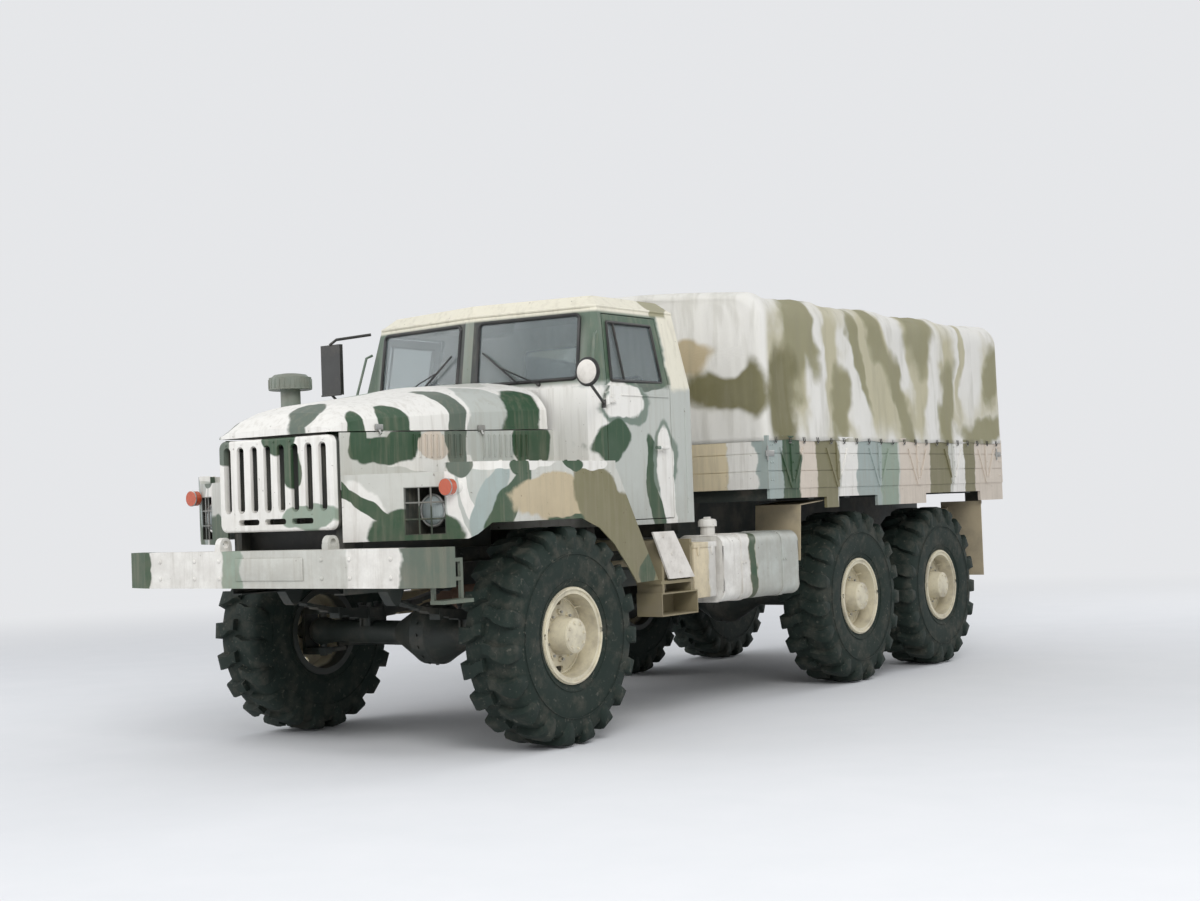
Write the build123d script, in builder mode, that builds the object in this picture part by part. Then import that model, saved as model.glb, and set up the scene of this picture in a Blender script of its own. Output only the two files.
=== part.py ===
"""Military cargo truck, 6x6, bonneted, with a covered load bed.

Millimetres, Z up. The front faces -Y and +X is the truck's left side.
The origin lies on the ground under the middle of the whole vehicle.
"""

import math
import os
from math import cos, hypot, radians, sin

from build123d import *

os.makedirs("parts", exist_ok=True)

# driving dimensions
body_width = 2500.0
front_overhang = 1240.0
wheelbase = 3525.0
bogie_spacing = 1400.0
rear_overhang = 1201.0
track = 2000.0
tyre_diameter = 1260.0
tyre_width = 375.0
rim_radius = 254.0
kingpin_x = 850.0
cab_half_width = 1030.0
cab_length = 1045.0
cab_top = 2680.0
cab_floor = 1240.0
belt_z = 2100.0
cab_corner_x = 965.0
bed_gap = 620.0
bed_bottom = 1440.0
board_height = 360.0
tarp_top = 2870.0
rail_width = 900.0
rail_bottom = 930.0
rail_height = 220.0
sheet = 8.0
gap = 6.0
seat_gap = 0.3
spindle = 54.0
hand_holes = 4
wheel_nuts = 10
tyre_sides = 24
lug_count = 18
lug_depth = 26.0

# stations along the truck
length = front_overhang + wheelbase + bogie_spacing + rear_overhang
axle_y = front_overhang - length / 2
mid_y = axle_y + wheelbase
rear_y = mid_y + bogie_spacing
hub_z = tyre_diameter / 2
bumper_y = -length / 2
grille_y = bumper_y + 60
cab_front = axle_y + 480
cowl_y = cab_front - seat_gap
cab_rear = cab_front + cab_length
bed_front = cab_rear + bed_gap
bed_rear = length / 2 - 30
rail_top = rail_bottom + rail_height
rail_x = rail_width / 2
bed_x = body_width / 2 - 15
board_top = bed_bottom + board_height


def block(x0, x1, y0, y1, z0, z1, mode=Mode.ADD):
    """A box between two corners."""
    with Locations(((x0 + x1) / 2, (y0 + y1) / 2, (z0 + z1) / 2)):
        Box(x1 - x0, y1 - y0, z1 - z0, mode=mode)


def side_prism(points, x0, x1, mode=Mode.ADD):
    """An outline seen from the side, as (y, z) points, carried from x0 to x1."""
    with BuildSketch(Plane.YZ.offset(x0)) as outline:
        with BuildLine():
            Polyline(*points, close=True)
        make_face()
    extrude(outline.sketch, amount=x1 - x0, dir=(1, 0, 0), mode=mode)


def front_prism(points, y0, y1, mode=Mode.ADD):
    """An outline seen from the front, as (x, z) points, carried from y0 to y1."""
    with BuildSketch(Plane.XZ.offset(-y0)) as outline:
        with BuildLine():
            Polyline(*points, close=True)
        make_face()
    extrude(outline.sketch, amount=y1 - y0, dir=(0, 1, 0), mode=mode)


def plan_prism(points, z0, z1, mode=Mode.ADD):
    """An outline seen from above, as (x, y) points, carried from z0 to z1."""
    with BuildSketch(Plane.XY.offset(z0)) as outline:
        with BuildLine():
            Polyline(*points, close=True)
        make_face()
    extrude(outline.sketch, amount=z1 - z0, dir=(0, 0, 1), mode=mode)


def rod(start, end, radius, mode=Mode.ADD):
    """A round bar between two points."""
    run = Vector(*end) - Vector(*start)
    with BuildSketch(Plane(origin=start, z_dir=run)) as ring:
        Circle(radius)
    extrude(ring.sketch, amount=run.length, mode=mode)


def hinge_pin(axis_point, along, half, mode=Mode.ADD):
    """The fixed side of a hinge: a pin held by a cheek at each end."""
    a = Vector(*axis_point)
    d = Vector(*along).normalized()
    rod(tuple(a - d * (half + 9)), tuple(a + d * (half + 9)), 7, mode)
    for end in (-1, 1):
        cheek = a + d * (end * (half + seat_gap))
        rod(tuple(cheek), tuple(cheek + d * (end * 9)), 14, mode)


def hinge_eye(axis_point, along, half):
    """The moving side of a hinge: a barrel that turns on the pin."""
    a = Vector(*axis_point)
    d = Vector(*along).normalized()
    rod(tuple(a - d * half), tuple(a + d * half), 14)


def hinge_bore(axis_point, along, half):
    """Clear the barrel for its pin."""
    a = Vector(*axis_point)
    d = Vector(*along).normalized()
    rod(tuple(a - d * (half + 1)), tuple(a + d * (half + 1)), 7.08, Mode.SUBTRACT)


def save(piece, name):
    """Label a finished piece and write its STEP file."""
    piece.part.label = name
    export_step(piece.part, f"parts/{name}.step")


# frame: two channel rails, cross members, body bearers and the spare wheel's carrier
spare_x = -430.0
spare_y = cab_rear + 235
spare_z = rail_top + 30 + seat_gap + hub_z
with BuildPart() as frame_rails:
    rail_front = bumper_y + 130
    rail_rear = length / 2 - 60
    for side in (-1, 1):
        outer = side * rail_x
        inner = side * (rail_x - 80)
        low, high = sorted((outer, inner))
        block(low, high, rail_front, rail_rear, rail_bottom, rail_top)
        hollow_low, hollow_high = sorted((side * (rail_x - sheet), inner))
        block(
            hollow_low, hollow_high, rail_front, rail_rear,
            rail_bottom + sheet, rail_top - sheet, Mode.SUBTRACT,
        )
    web_x = rail_x - sheet
    for member_y, member_low in (
        (rail_front + 40, rail_bottom + 40), (cab_front + 720, rail_top - 80),
        (mid_y - 700, rail_bottom + 70), (mid_y + bogie_spacing / 2, rail_bottom + 40),
        (rear_y + 500, rail_bottom + 40), (rail_rear - 40, rail_bottom + 10),
    ):
        block(-web_x, web_x, member_y - 40, member_y + 40, member_low, rail_top - 10)
    for bearer_y in (axle_y + 560, cab_rear - 120):
        block(-cab_half_width + 130, cab_half_width - 130, bearer_y - 40, bearer_y + 40,
              rail_top, cab_floor - seat_gap)
    block(spare_x - 300, spare_x + 300, spare_y - 140, spare_y + 140, rail_top, rail_top + 30)
save(frame_rails, "frame_rails")

# front bumper: pressed channel with swept ends, tow eyes on top and a foothold at each end
bumper_low = 975.0
bumper_high = 1185.0
bumper_x = body_width / 2 - 4
tow_x = 430.0
with BuildPart() as front_bumper:
    sweep_back = 52.0
    straight_x = bumper_x - 190
    plan = [(-bumper_x, bumper_y + sweep_back), (-straight_x, bumper_y),
            (straight_x, bumper_y), (bumper_x, bumper_y + sweep_back),
            (bumper_x, bumper_y + sweep_back + 90), (straight_x, bumper_y + 90),
            (-straight_x, bumper_y + 90), (-bumper_x, bumper_y + sweep_back + 90)]
    plan_prism(plan, bumper_low, bumper_high)
    hollow = [(-bumper_x + 10, bumper_y + sweep_back + 10), (-straight_x, bumper_y + 10),
              (straight_x, bumper_y + 10), (bumper_x - 10, bumper_y + sweep_back + 10),
              (bumper_x - 10, bumper_y + 300), (-bumper_x + 10, bumper_y + 300)]
    plan_prism(hollow, bumper_low + 10, bumper_high - 10, Mode.SUBTRACT)
    for side in (-1, 1):
        low, high = sorted((side * (rail_x - 80), side * rail_x))
        block(low, high, bumper_y + 9, bumper_y + 130 - seat_gap, rail_bottom + 60, rail_top)
        tow_low, tow_high = side * tow_x - 22, side * tow_x + 22
        eye_y = bumper_y + 55
        block(tow_low, tow_high, eye_y - 45, eye_y + 45, bumper_high - 20, bumper_high + 30)
        with BuildSketch(Plane.YZ.offset(tow_low)):
            with Locations((eye_y, bumper_high + 35)):
                Circle(42)
        extrude(amount=44)
        with BuildSketch(Plane.YZ.offset(tow_low)):
            with Locations((eye_y, bumper_high + 38)):
                Circle(22)
        extrude(amount=44, mode=Mode.SUBTRACT)
    step_in = bumper_x - 141
    step_out = bumper_x - 121
    block(step_in, step_out, bumper_y + 100, bumper_y + 120, 885, 1000)
    block(step_in, step_out, bumper_y + 320, bumper_y + 340, 885, 1120)
    block(step_in, step_out, bumper_y + 100, bumper_y + 340, 1000, 1020)
    block(step_in - 5, step_out + 70, bumper_y + 100, bumper_y + 340, 885, 905)
    block(step_in, step_out, bumper_y + 60, bumper_y + 340, 1100, 1120)
save(front_bumper, "front_bumper")


# wheels: the same tyre and rim in every place, open inboard for the hub
def tyre_body(plane):
    """A tyre about the plane's z axis: a flat-sided ring and two staggered rows of lugs."""
    half = tyre_width / 2
    tip = tyre_diameter / 2
    wall = [(150, rim_radius + 32), (half, rim_radius + 176), (half - 14, tip - lug_depth)]
    rings = [(-x, r) for x, r in wall] + [(x, r) for x, r in reversed(wall)]
    sections = []
    for along, radius in rings:
        with BuildSketch(plane.offset(along)) as ring:
            RegularPolygon(radius, tyre_sides)
        sections.append(ring.sketch)
    loft(sections, ruled=True)
    pitch = 2 * math.pi / lug_count
    for along, turn in ((-half + 24, 0), (8, pitch / 2)):
        points = []
        for n in range(lug_count):
            start = n * pitch + turn
            points += [(tip, start), (tip, start + pitch * 0.62),
                       (tip - lug_depth - 4, start + pitch * 0.81)]
        with BuildSketch(plane.offset(along)) as row:
            with BuildLine():
                Polyline(*[(r * math.cos(a), r * math.sin(a)) for r, a in points], close=True)
            make_face()
            RegularPolygon(tip - lug_depth - 20, tyre_sides, mode=Mode.SUBTRACT)
        extrude(row.sketch, amount=half - 32)
    with BuildSketch(plane.offset(-half)) as bore:
        RegularPolygon(rim_radius, tyre_sides, major_radius=False)
    extrude(bore.sketch, amount=tyre_width, mode=Mode.SUBTRACT)


def rim_profile(plane):
    """Half section of a rim with its disc and brake drum."""
    seat = rim_radius - seat_gap
    with BuildSketch(plane) as section:
        with BuildLine():
            Polyline(
                (-165, seat + 26), (-165, seat - 14), (30, seat - 14), (42, 150), (34, 120),
                (34, spindle + 0.08), (180, spindle + 0.08), (180, 100), (66, 112),
                (58, 150), (44, seat - 14), (165, seat - 14), (165, seat + 26),
                (150.4, seat + 26), (150, seat), (-150, seat), (-150.4, seat + 26), close=True,
            )
        make_face()
    return section.sketch


def wheel_plane(x, y, z):
    """Sketch plane through a wheel's axis: local x outboard, local y up."""
    side = 1 if x > 0 else -1
    return Plane(origin=(x, y, z), x_dir=(side, 0, 0), z_dir=(0, -side, 0))


def rim_holes(side, centre):
    """Hand holes through the disc and the ring of wheel nuts, outboard towards side x."""
    disc = Plane(origin=(centre[0] + side * 20, centre[1], centre[2]), z_dir=(side, 0, 0))
    with BuildSketch(disc) as holes:
        with PolarLocations(198, hand_holes, start_angle=90):
            SlotOverall(84, 46, rotation=90)
    extrude(holes.sketch, amount=60, mode=Mode.SUBTRACT)
    with BuildSketch(disc.offset(36)) as nuts:
        with PolarLocations(136, wheel_nuts):
            RegularPolygon(17, 6)
    extrude(nuts.sketch, amount=22)


wheels = {
    "front_left": (track / 2, axle_y),
    "front_right": (-track / 2, axle_y),
    "mid_left": (track / 2, mid_y),
    "mid_right": (-track / 2, mid_y),
    "rear_left": (track / 2, rear_y),
    "rear_right": (-track / 2, rear_y),
}
for place, (wheel_x, wheel_y) in wheels.items():
    axis_here = Axis((wheel_x, wheel_y, hub_z), (1, 0, 0))
    with BuildPart() as tyre:
        tyre_body(Plane(origin=(wheel_x, wheel_y, hub_z), x_dir=(0, 0, -1), z_dir=(1, 0, 0)))
    save(tyre, f"tyre_{place}")
    with BuildPart() as rim:
        revolve(rim_profile(wheel_plane(wheel_x, wheel_y, hub_z)), axis_here)
        rim_holes(1 if wheel_x > 0 else -1, (wheel_x, wheel_y, hub_z))
    save(rim, f"rim_{place}")

spare_plane = Plane(origin=(spare_x, spare_y, spare_z), x_dir=(0, -1, 0), z_dir=(1, 0, 0))
spare_axis = Axis((spare_x, spare_y, spare_z), (0, 1, 0))
with BuildPart() as spare_tyre:
    tyre_body(Plane(origin=(spare_x, spare_y, spare_z), x_dir=(0, 0, -1), z_dir=(0, 1, 0)))
save(spare_tyre, "spare_tyre")
with BuildPart() as spare_rim:
    revolve(rim_profile(spare_plane), spare_axis)
save(spare_rim, "spare_rim")

# axles: pressed housings that swell round the differentials
housing = 72.0
front_diff_x = 120.0
nose_z = hub_z + 120
ball = 92.0


def axle_half(centre, reach, tube, bulge, tip):
    """Half outline of an axle housing, as (x, radius) points."""
    return [(-reach, 0), *tip, (centre - bulge - 90, tube), (centre - bulge * 0.55, bulge * 0.86),
            (centre - bulge * 0.3, bulge), (centre + bulge * 0.3, bulge),
            (centre + bulge * 0.55, bulge * 0.86), (centre + bulge + 90, tube),
            *[(-x, r) for x, r in reversed(tip)], (reach, 0)]


def axle_housing(outline, y):
    """Turn an axle outline about the axle's own line."""
    with BuildSketch(Plane(origin=(0, y, hub_z), x_dir=(1, 0, 0), z_dir=(0, -1, 0))) as half:
        with BuildLine():
            Polyline(*outline, close=True)
        make_face()
    revolve(half.sketch, Axis((0, y, hub_z), (1, 0, 0)))


with BuildPart() as front_axle:
    ends = [(-kingpin_x - 62, 66), (-kingpin_x - 30, ball - 6), (-kingpin_x, ball),
            (-kingpin_x + 40, ball - 8), (-kingpin_x + 100, housing)]
    axle_housing(axle_half(front_diff_x, kingpin_x + 62, housing, 188, ends), axle_y)
    rod((front_diff_x, axle_y + 80, hub_z + 20), (front_diff_x, axle_y + 250, hub_z + 20), 80)
    for side in (-1, 1):
        rod((side * kingpin_x, axle_y, hub_z - 158), (side * kingpin_x, axle_y, hub_z + 158), 24)
        low, high = sorted((side * (rail_x - 80), side * (rail_x - 5)))
        block(low, high, axle_y - 60, axle_y + 60, hub_z + 40, hub_z + 90)
save(front_axle, "front_axle")

hub_face = track / 2 + 170
with BuildPart() as rear_axles:
    ends = [(-hub_face, spindle), (-track / 2 + 60, spindle), (-track / 2 + 60, 190),
            (-track / 2 + 90, 190), (-track / 2 + 130, housing)]
    for drive_y in (mid_y, rear_y):
        axle_housing(axle_half(0, hub_face, housing, 205, ends), drive_y)
        rod((0, drive_y, nose_z), (0, drive_y - 300, nose_z), 80)
    rod((0, mid_y, nose_z), (0, mid_y + 240, nose_z), 60)
save(rear_axles, "rear_axles")

# steering knuckles: forks on the kingpins, spindles and arms, and the rod that ties them
arm_x = kingpin_x
arm_y = axle_y + 155
rod_y = axle_y + 270
arm_z = hub_z - 90
yoke_x = kingpin_x + 105
for side, name in ((1, "knuckle_left"), (-1, "knuckle_right")):
    with BuildPart() as knuckle:
        fork = [(side * (kingpin_x - 42), axle_y - 30), (side * (kingpin_x - 42), axle_y + 30),
                (side * kingpin_x, axle_y + 46), (side * (yoke_x + 20), axle_y + 60),
                (side * (yoke_x + 20), axle_y - 60), (side * kingpin_x, axle_y - 46)]
        plan_prism(fork, hub_z - 150, hub_z - 108)
        plan_prism(fork, hub_z + 108, hub_z + 150)
        low, high = sorted((side * yoke_x, side * (yoke_x + 24)))
        block(low, high, axle_y - 60, axle_y + 60, hub_z - 150, hub_z + 150)
        rod((side * yoke_x, axle_y, hub_z), (side * hub_face, axle_y, hub_z), spindle)
        arm_low, arm_high = sorted((side * (arm_x - 26), side * (arm_x + 26)))
        block(arm_low, arm_high, axle_y - 30, arm_y + 22, hub_z - 140, hub_z - 114)
        rod((side * arm_x, arm_y, hub_z - 130), (side * arm_x, arm_y, arm_z + 26), 12)
        rod((side * kingpin_x, axle_y, hub_z - 200), (side * kingpin_x, axle_y, hub_z + 200),
            24.08, Mode.SUBTRACT)
    save(knuckle, name)

with BuildPart() as tie_rod:
    rod((-arm_x + 165, rod_y, arm_z), (arm_x - 165, rod_y, arm_z), 18)
    for side in (-1, 1):
        inboard = (side * (arm_x - 80), arm_y, arm_z)
        bend = (side * (arm_x - 160), rod_y, arm_z)
        rod((side * (arm_x - 20), arm_y, arm_z), inboard, 18)
        rod(inboard, bend, 18)
        for knee in (inboard, bend):
            with Locations(knee):
                Sphere(18)
        rod((side * arm_x, arm_y, arm_z - 20), (side * arm_x, arm_y, arm_z + 20), 24)
        rod((side * arm_x, arm_y, arm_z - 30), (side * arm_x, arm_y, arm_z + 30), 12.08,
            Mode.SUBTRACT)
save(tie_rod, "tie_rod")

# springs: bowed leaves over the front axle, rocking packs over the rear pair
balance_y = (mid_y + rear_y) / 2
rear_spring_x = rail_x + 60
front_leaves = 7
rear_leaves = 6
leaf = 9.0


def leaf_bar(centre_y, eye_z, drop, half_run, x0, x1):
    """One bowed leaf, seen from the side, lowest in the middle when drop is positive."""
    with BuildSketch(Plane.YZ.offset(x0)) as outline:
        with BuildLine():
            ThreePointArc((centre_y - half_run, eye_z), (centre_y, eye_z - drop),
                          (centre_y + half_run, eye_z))
            Line((centre_y + half_run, eye_z), (centre_y + half_run, eye_z - leaf))
            ThreePointArc((centre_y + half_run, eye_z - leaf), (centre_y, eye_z - drop - leaf),
                          (centre_y - half_run, eye_z - leaf))
            Line((centre_y - half_run, eye_z - leaf), (centre_y - half_run, eye_z))
        make_face()
    extrude(outline.sketch, amount=x1 - x0, dir=(1, 0, 0))


with BuildPart() as springs:
    for side in (-1, 1):
        low, high = sorted((side * (rail_x - 78), side * (rail_x - 4)))
        main_run = 680.0
        main_drop = 90.0
        pad_z = hub_z + 90 + seat_gap
        for n in range(front_leaves):
            run = main_run - n * 85
            drop = main_drop * (run / main_run) ** 2
            middle = pad_z + leaf * (front_leaves - n) + 0.0
            leaf_bar(axle_y, middle + drop, drop, run, low, high)
        eye_z = pad_z + leaf * front_leaves + main_drop
        for end in (-1, 1):
            rod((low, axle_y + end * (main_run + 12), eye_z - 6),
                (high, axle_y + end * (main_run + 12), eye_z - 6), 24)
            side_prism([(axle_y + end * (main_run - 50), rail_bottom - seat_gap),
                        (axle_y + end * (main_run + 90), rail_bottom - seat_gap),
                        (axle_y + end * (main_run + 36), eye_z - 20),
                        (axle_y + end * (main_run - 14), eye_z - 20)], low, high)
        for clip in (-1, 1):
            block(low - 8, high + 8, axle_y + clip * 70 - 9, axle_y + clip * 70 + 9,
                  pad_z - 2, pad_z + leaf * front_leaves + 16)
        low, high = sorted((side * (rail_x + seat_gap), side * (rail_x + 90)))
        rear_run = bogie_spacing / 2 + 20
        for n in range(rear_leaves):
            run = rear_run - n * 95
            drop = -110.0 * (run / rear_run) ** 2
            middle = hub_z + 200 - leaf * 2 * n
            leaf_bar(balance_y, middle + drop, drop, run, low, high)
            leaf_bar(balance_y, middle + drop - leaf, drop, run - 40, low, high)
        for end in (-1, 1):
            seat_y = balance_y + end * bogie_spacing / 2
            block(low, high, seat_y - 60, seat_y + 60, hub_z + housing + seat_gap, hub_z + 84)
        side_prism([(balance_y - 120, rail_bottom + 100), (balance_y + 120, rail_bottom + 100),
                    (balance_y + 80, hub_z - 40), (balance_y - 80, hub_z - 40)], low, high)
    rod((-rail_x - 80, balance_y, hub_z + 15), (rail_x + 80, balance_y, hub_z + 15), 50)
save(springs, "springs")

# engine, gearbox and transfer case as plain heavy masses, with the drive shafts
with BuildPart() as powertrain:
    engine_front = axle_y - 800
    gearbox_rear = axle_y + 960
    case_front = cab_rear + 40
    case_rear = cab_rear + 460
    mount_x = rail_x - sheet - seat_gap
    block(-300, 300, engine_front, axle_y + 330, rail_bottom + 40, 1640)
    block(-190, 190, axle_y + 330, gearbox_rear, rail_bottom + 10, rail_top - 10)
    block(-240, 240, case_front, case_rear, hub_z + 170, rail_top - 20)
    for mount_y in (axle_y - 500, axle_y + 250, cab_rear + 100, cab_rear + 400):
        block(-mount_x, mount_x, mount_y - 30, mount_y + 30, rail_bottom + 60, rail_bottom + 110)
    rod((0, gearbox_rear, 1005), (0, case_front, 1000), 42)
    rod((front_diff_x, axle_y + 260, hub_z + 20), (front_diff_x, case_front, hub_z + 230), 40)
    rod((front_diff_x, axle_y + 250 + seat_gap, hub_z + 20),
        (front_diff_x, axle_y + 270, hub_z + 20), 52)
    rod((0, case_rear, hub_z + 230), (0, mid_y - 312, nose_z), 45)
    rod((0, mid_y - 325, nose_z), (0, mid_y - 300 - seat_gap, nose_z), 56)
    rod((0, mid_y + 240 + seat_gap, nose_z), (0, rear_y - 300 - seat_gap, nose_z), 40)
save(powertrain, "powertrain")

# grille: upright frame with tall slots over three short ones
grille_x = 455.0
grille_top = 1812.0
grille_low = 1289.0
slot_pitch = 2 * grille_x * 0.12
with BuildPart() as grille_panel:
    grille_mid = (grille_top + grille_low) / 2
    with BuildSketch(Plane.XZ.offset(-grille_y - 60)) as grille_face:
        with Locations((0, grille_mid)):
            RectangleRounded(2 * grille_x, grille_top - grille_low, 46)
    extrude(grille_face.sketch, amount=60, dir=(0, -1, 0))
    front_edges = edges().group_by(Axis.Y)[0]
    fillet(front_edges, 14)
    with BuildSketch(Plane.XZ.offset(-grille_y)) as tall_slots:
        with Locations((0, (1395 + 1775) / 2)):
            with GridLocations(slot_pitch, 1, 8, 1):
                SlotOverall(380, 58, rotation=90)
        with Locations((0, 1344)):
            with GridLocations(215, 1, 3, 1):
                SlotOverall(170, 32)
    extrude(tall_slots.sketch, amount=60, dir=(0, 1, 0), mode=Mode.SUBTRACT)
    block(-grille_x + 46, grille_x - 46, grille_y + 16, grille_y + 60, grille_low + 120,
          grille_top - 45, Mode.SUBTRACT)
    with BuildSketch(Plane.XZ.offset(-grille_y - 2)) as bars:
        with Locations((0, (1395 + 1775) / 2)):
            with GridLocations(slot_pitch, 1, 7, 1):
                Rectangle(30, 420)
    extrude(bars.sketch, amount=30, dir=(0, 1, 0))
    block(-grille_x + 30, grille_x - 30, grille_y + 90, grille_y + 170, grille_low + 40,
          grille_top - 60)
    for side in (-1, 1):
        low, high = sorted((side * (grille_x - 60), side * (grille_x - 30)))
        block(low, high, grille_y + 50, grille_y + 170, grille_low + 40, grille_top - 60)
        low, high = sorted((side * (rail_x - 70), side * (rail_x - 10)))
        block(low, high, grille_y + 90, grille_y + 170, rail_top + seat_gap, grille_low + 60)
save(grille_panel, "grille_panel")

# bonnet sides: tapered plates from the grille back to the cowl
nose_front = grille_y + 60 + seat_gap
nose_x0 = grille_x + 5
nose_x1 = 700.0
seam_front = 1820.0
seam_rear = 1843.0
wing_top = 1585.0


def nose_x(y):
    """Half width of the bonnet at a station."""
    return nose_x0 + (nose_x1 - nose_x0) * (y - nose_front) / (cowl_y - nose_front)


louvre_pitch = 43.0
louvre_groups = ((axle_y - 600, 9), (axle_y - 80, 9))
with BuildPart() as nose_sides:
    for side in (-1, 1):
        plan_prism([(side * nose_x0, nose_front), (side * nose_x1, cowl_y),
                    (side * (nose_x1 - sheet), cowl_y), (side * (nose_x0 - sheet), nose_front)],
                   wing_top - 80, seam_rear)
    side_prism([(nose_front - 10, seam_front), (cowl_y + 10, seam_rear),
                (cowl_y + 10, seam_rear + 60), (nose_front - 10, seam_rear + 60)],
               -nose_x1 - 10, nose_x1 + 10, Mode.SUBTRACT)
    louvre_mid = 1748.0
    for side in (-1, 1):
        for first, count in louvre_groups:
            for n in range(count):
                louvre_y = first + louvre_pitch * n
                face = side * nose_x(louvre_y)
                slot_in, slot_out = sorted((face - side * 20, face + side * 20))
                block(slot_in, slot_out, louvre_y - 7, louvre_y + 7,
                      louvre_mid - 62, louvre_mid + 62, Mode.SUBTRACT)
                hood_in, hood_out = sorted((face - side * 4, face + side * 9))
                block(hood_in, hood_out, louvre_y - 13, louvre_y - 6,
                      louvre_mid - 66, louvre_mid + 66)
save(nose_sides, "nose_sides")

# bonnet lid: crowned, falling over the nose, hinged at the cowl
hood_front = grille_y + 4
hood_rear = axle_y + 434
hood_sections = (
    # station, half width, edge height, crown height
    (hood_front, nose_x0 - 10, seam_front + gap, 1862.0),
    (axle_y - 1090, nose_x(axle_y - 1090), seam_front + gap + 1, 1950.0),
    (axle_y - 966, nose_x(axle_y - 966), seam_front + gap + 3, 2006.0),
    (axle_y - 561, nose_x(axle_y - 561), seam_front + gap + 9, 2060.0),
    (axle_y - 127, nose_x(axle_y - 127), seam_front + gap + 15, 2128.0),
    (hood_rear, nose_x(hood_rear), seam_rear + gap, 2172.0),
)


def hood_section(station, half, edge, crown):
    """Closed cross section of the bonnet: flat foot, round shoulders and a wide crown."""
    rise = crown - edge
    foot_z = edge + rise * 0.36
    shoulder = (half * 0.72, crown - rise * 0.17)
    radius = (shoulder[0] ** 2 + (rise * 0.17) ** 2) / (2 * rise * 0.17)
    lean = shoulder[0] / radius
    with BuildSketch(Plane.XZ.offset(-station)) as section:
        with BuildLine():
            Line((-half, edge), (half, edge))
            Line((half, edge), (half - 6, foot_z))
            TangentArc((-shoulder[0], shoulder[1]), (-half + 6, foot_z), tangent=(-1, -lean))
            ThreePointArc((-shoulder[0], shoulder[1]), (0, crown), shoulder)
            TangentArc(shoulder, (half - 6, foot_z), tangent=(1, -lean))
            Line((-half + 6, foot_z), (-half, edge))
        make_face()
    return section.sketch


with BuildPart() as hood_void:
    loft([hood_section(y + sheet * (1 if n == 0 else 0), half - sheet, edge - 1, crown - sheet)
          for n, (y, half, edge, crown) in enumerate(hood_sections[:-1])]
         + [hood_section(hood_rear + 1, hood_sections[-1][1] - sheet,
                         hood_sections[-1][2] - 1, hood_sections[-1][3] - sheet)], ruled=True)
hood_hinge_y = hood_rear + 16
hood_hinge_z = hood_sections[-1][3] - 22
hood_hinges = [(-200, hood_hinge_y, hood_hinge_z), (200, hood_hinge_y, hood_hinge_z)]
with BuildPart() as hood:
    loft([hood_section(*row) for row in hood_sections], ruled=True)
    add(hood_void.part, mode=Mode.SUBTRACT)
    for hinge in hood_hinges:
        hinge_eye(hinge, (1, 0, 0), 30)
        block(hinge[0] - 30, hinge[0] + 30, hood_rear - 40, hood_hinge_y,
              hood_hinge_z - 12, hood_hinge_z + 6)
        hinge_bore(hinge, (1, 0, 0), 30)
save(hood, "hood")

# wings: open boxes over the front wheels, slanting down behind them
wing_x = body_width / 2 - 60
wing_inner = rail_x + 10
lamp_x = 877.0
lamp_z = 1376.0
recess_half = 100.0
recess_high = 126.0
recess_depth = 150.0
wing_front_in = grille_y + 60
wing_shoulder_x = 1000.0
wing_shoulder_y = axle_y - 850
wing_nose = [(wing_inner, wing_front_in), (wing_shoulder_x, wing_shoulder_y),
             (wing_x - 70, axle_y - 760), (wing_x, axle_y - 620)]


def wing_face(x):
    """Station of the wing's front sheet at a distance from the middle."""
    share = (x - wing_inner) / (wing_shoulder_x - wing_inner)
    return wing_front_in + (wing_shoulder_y - wing_front_in) * share


def wing_plan(depth, rear):
    """Plan outline of a wing's box, set back from its front and outer sheets."""
    nose = [(x - depth, y + depth) for x, y in wing_nose]
    nose[0] = (wing_inner - depth, wing_nose[0][1] + depth)
    return nose + [(wing_x - depth, rear), (wing_inner - depth, rear)]


with BuildPart() as wing_block:
    side_prism([(wing_front_in - 5, 1218), (wing_front_in - 5, wing_top),
                (axle_y + 450, wing_top), (axle_y + 850, 900), (axle_y + 625, 896),
                (axle_y + 526, 1010), (axle_y + 402, 1140), (axle_y + 260, 1240),
                (axle_y + 90, 1300), (axle_y - 680, 1300), (axle_y - 790, 1218)],
               wing_inner, wing_x)
    plan_prism(wing_plan(0, cab_rear), 500, 2000, Mode.INTERSECT)
with BuildPart() as wing_void:
    side_prism([(wing_front_in - 50, 800), (wing_front_in - 50, wing_top - sheet),
                (axle_y + 446, wing_top - sheet), (axle_y + 850 + 50, 800)],
               wing_inner - 10, wing_x - sheet)
    plan_prism(wing_plan(sheet, cab_rear + 500), 500, 2000, Mode.INTERSECT)
with BuildPart() as cab_side_void:
    plan_prism([(nose_x0 + seat_gap, nose_front - 200),
                (nose_x0 + seat_gap, nose_front), (nose_x1 + seat_gap, cowl_y),
                (cab_corner_x + 6, cowl_y),
                (cab_half_width + 8, cab_front + 60),
                (cab_half_width + 8, cab_rear), (0, cab_rear), (0, nose_front - 200)],
               500, 2000)
recess_back = wing_face(lamp_x) + recess_depth
marker_x = 1024.0
marker_z = 1500.0
marker_y = wing_face(marker_x - 46)
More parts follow.
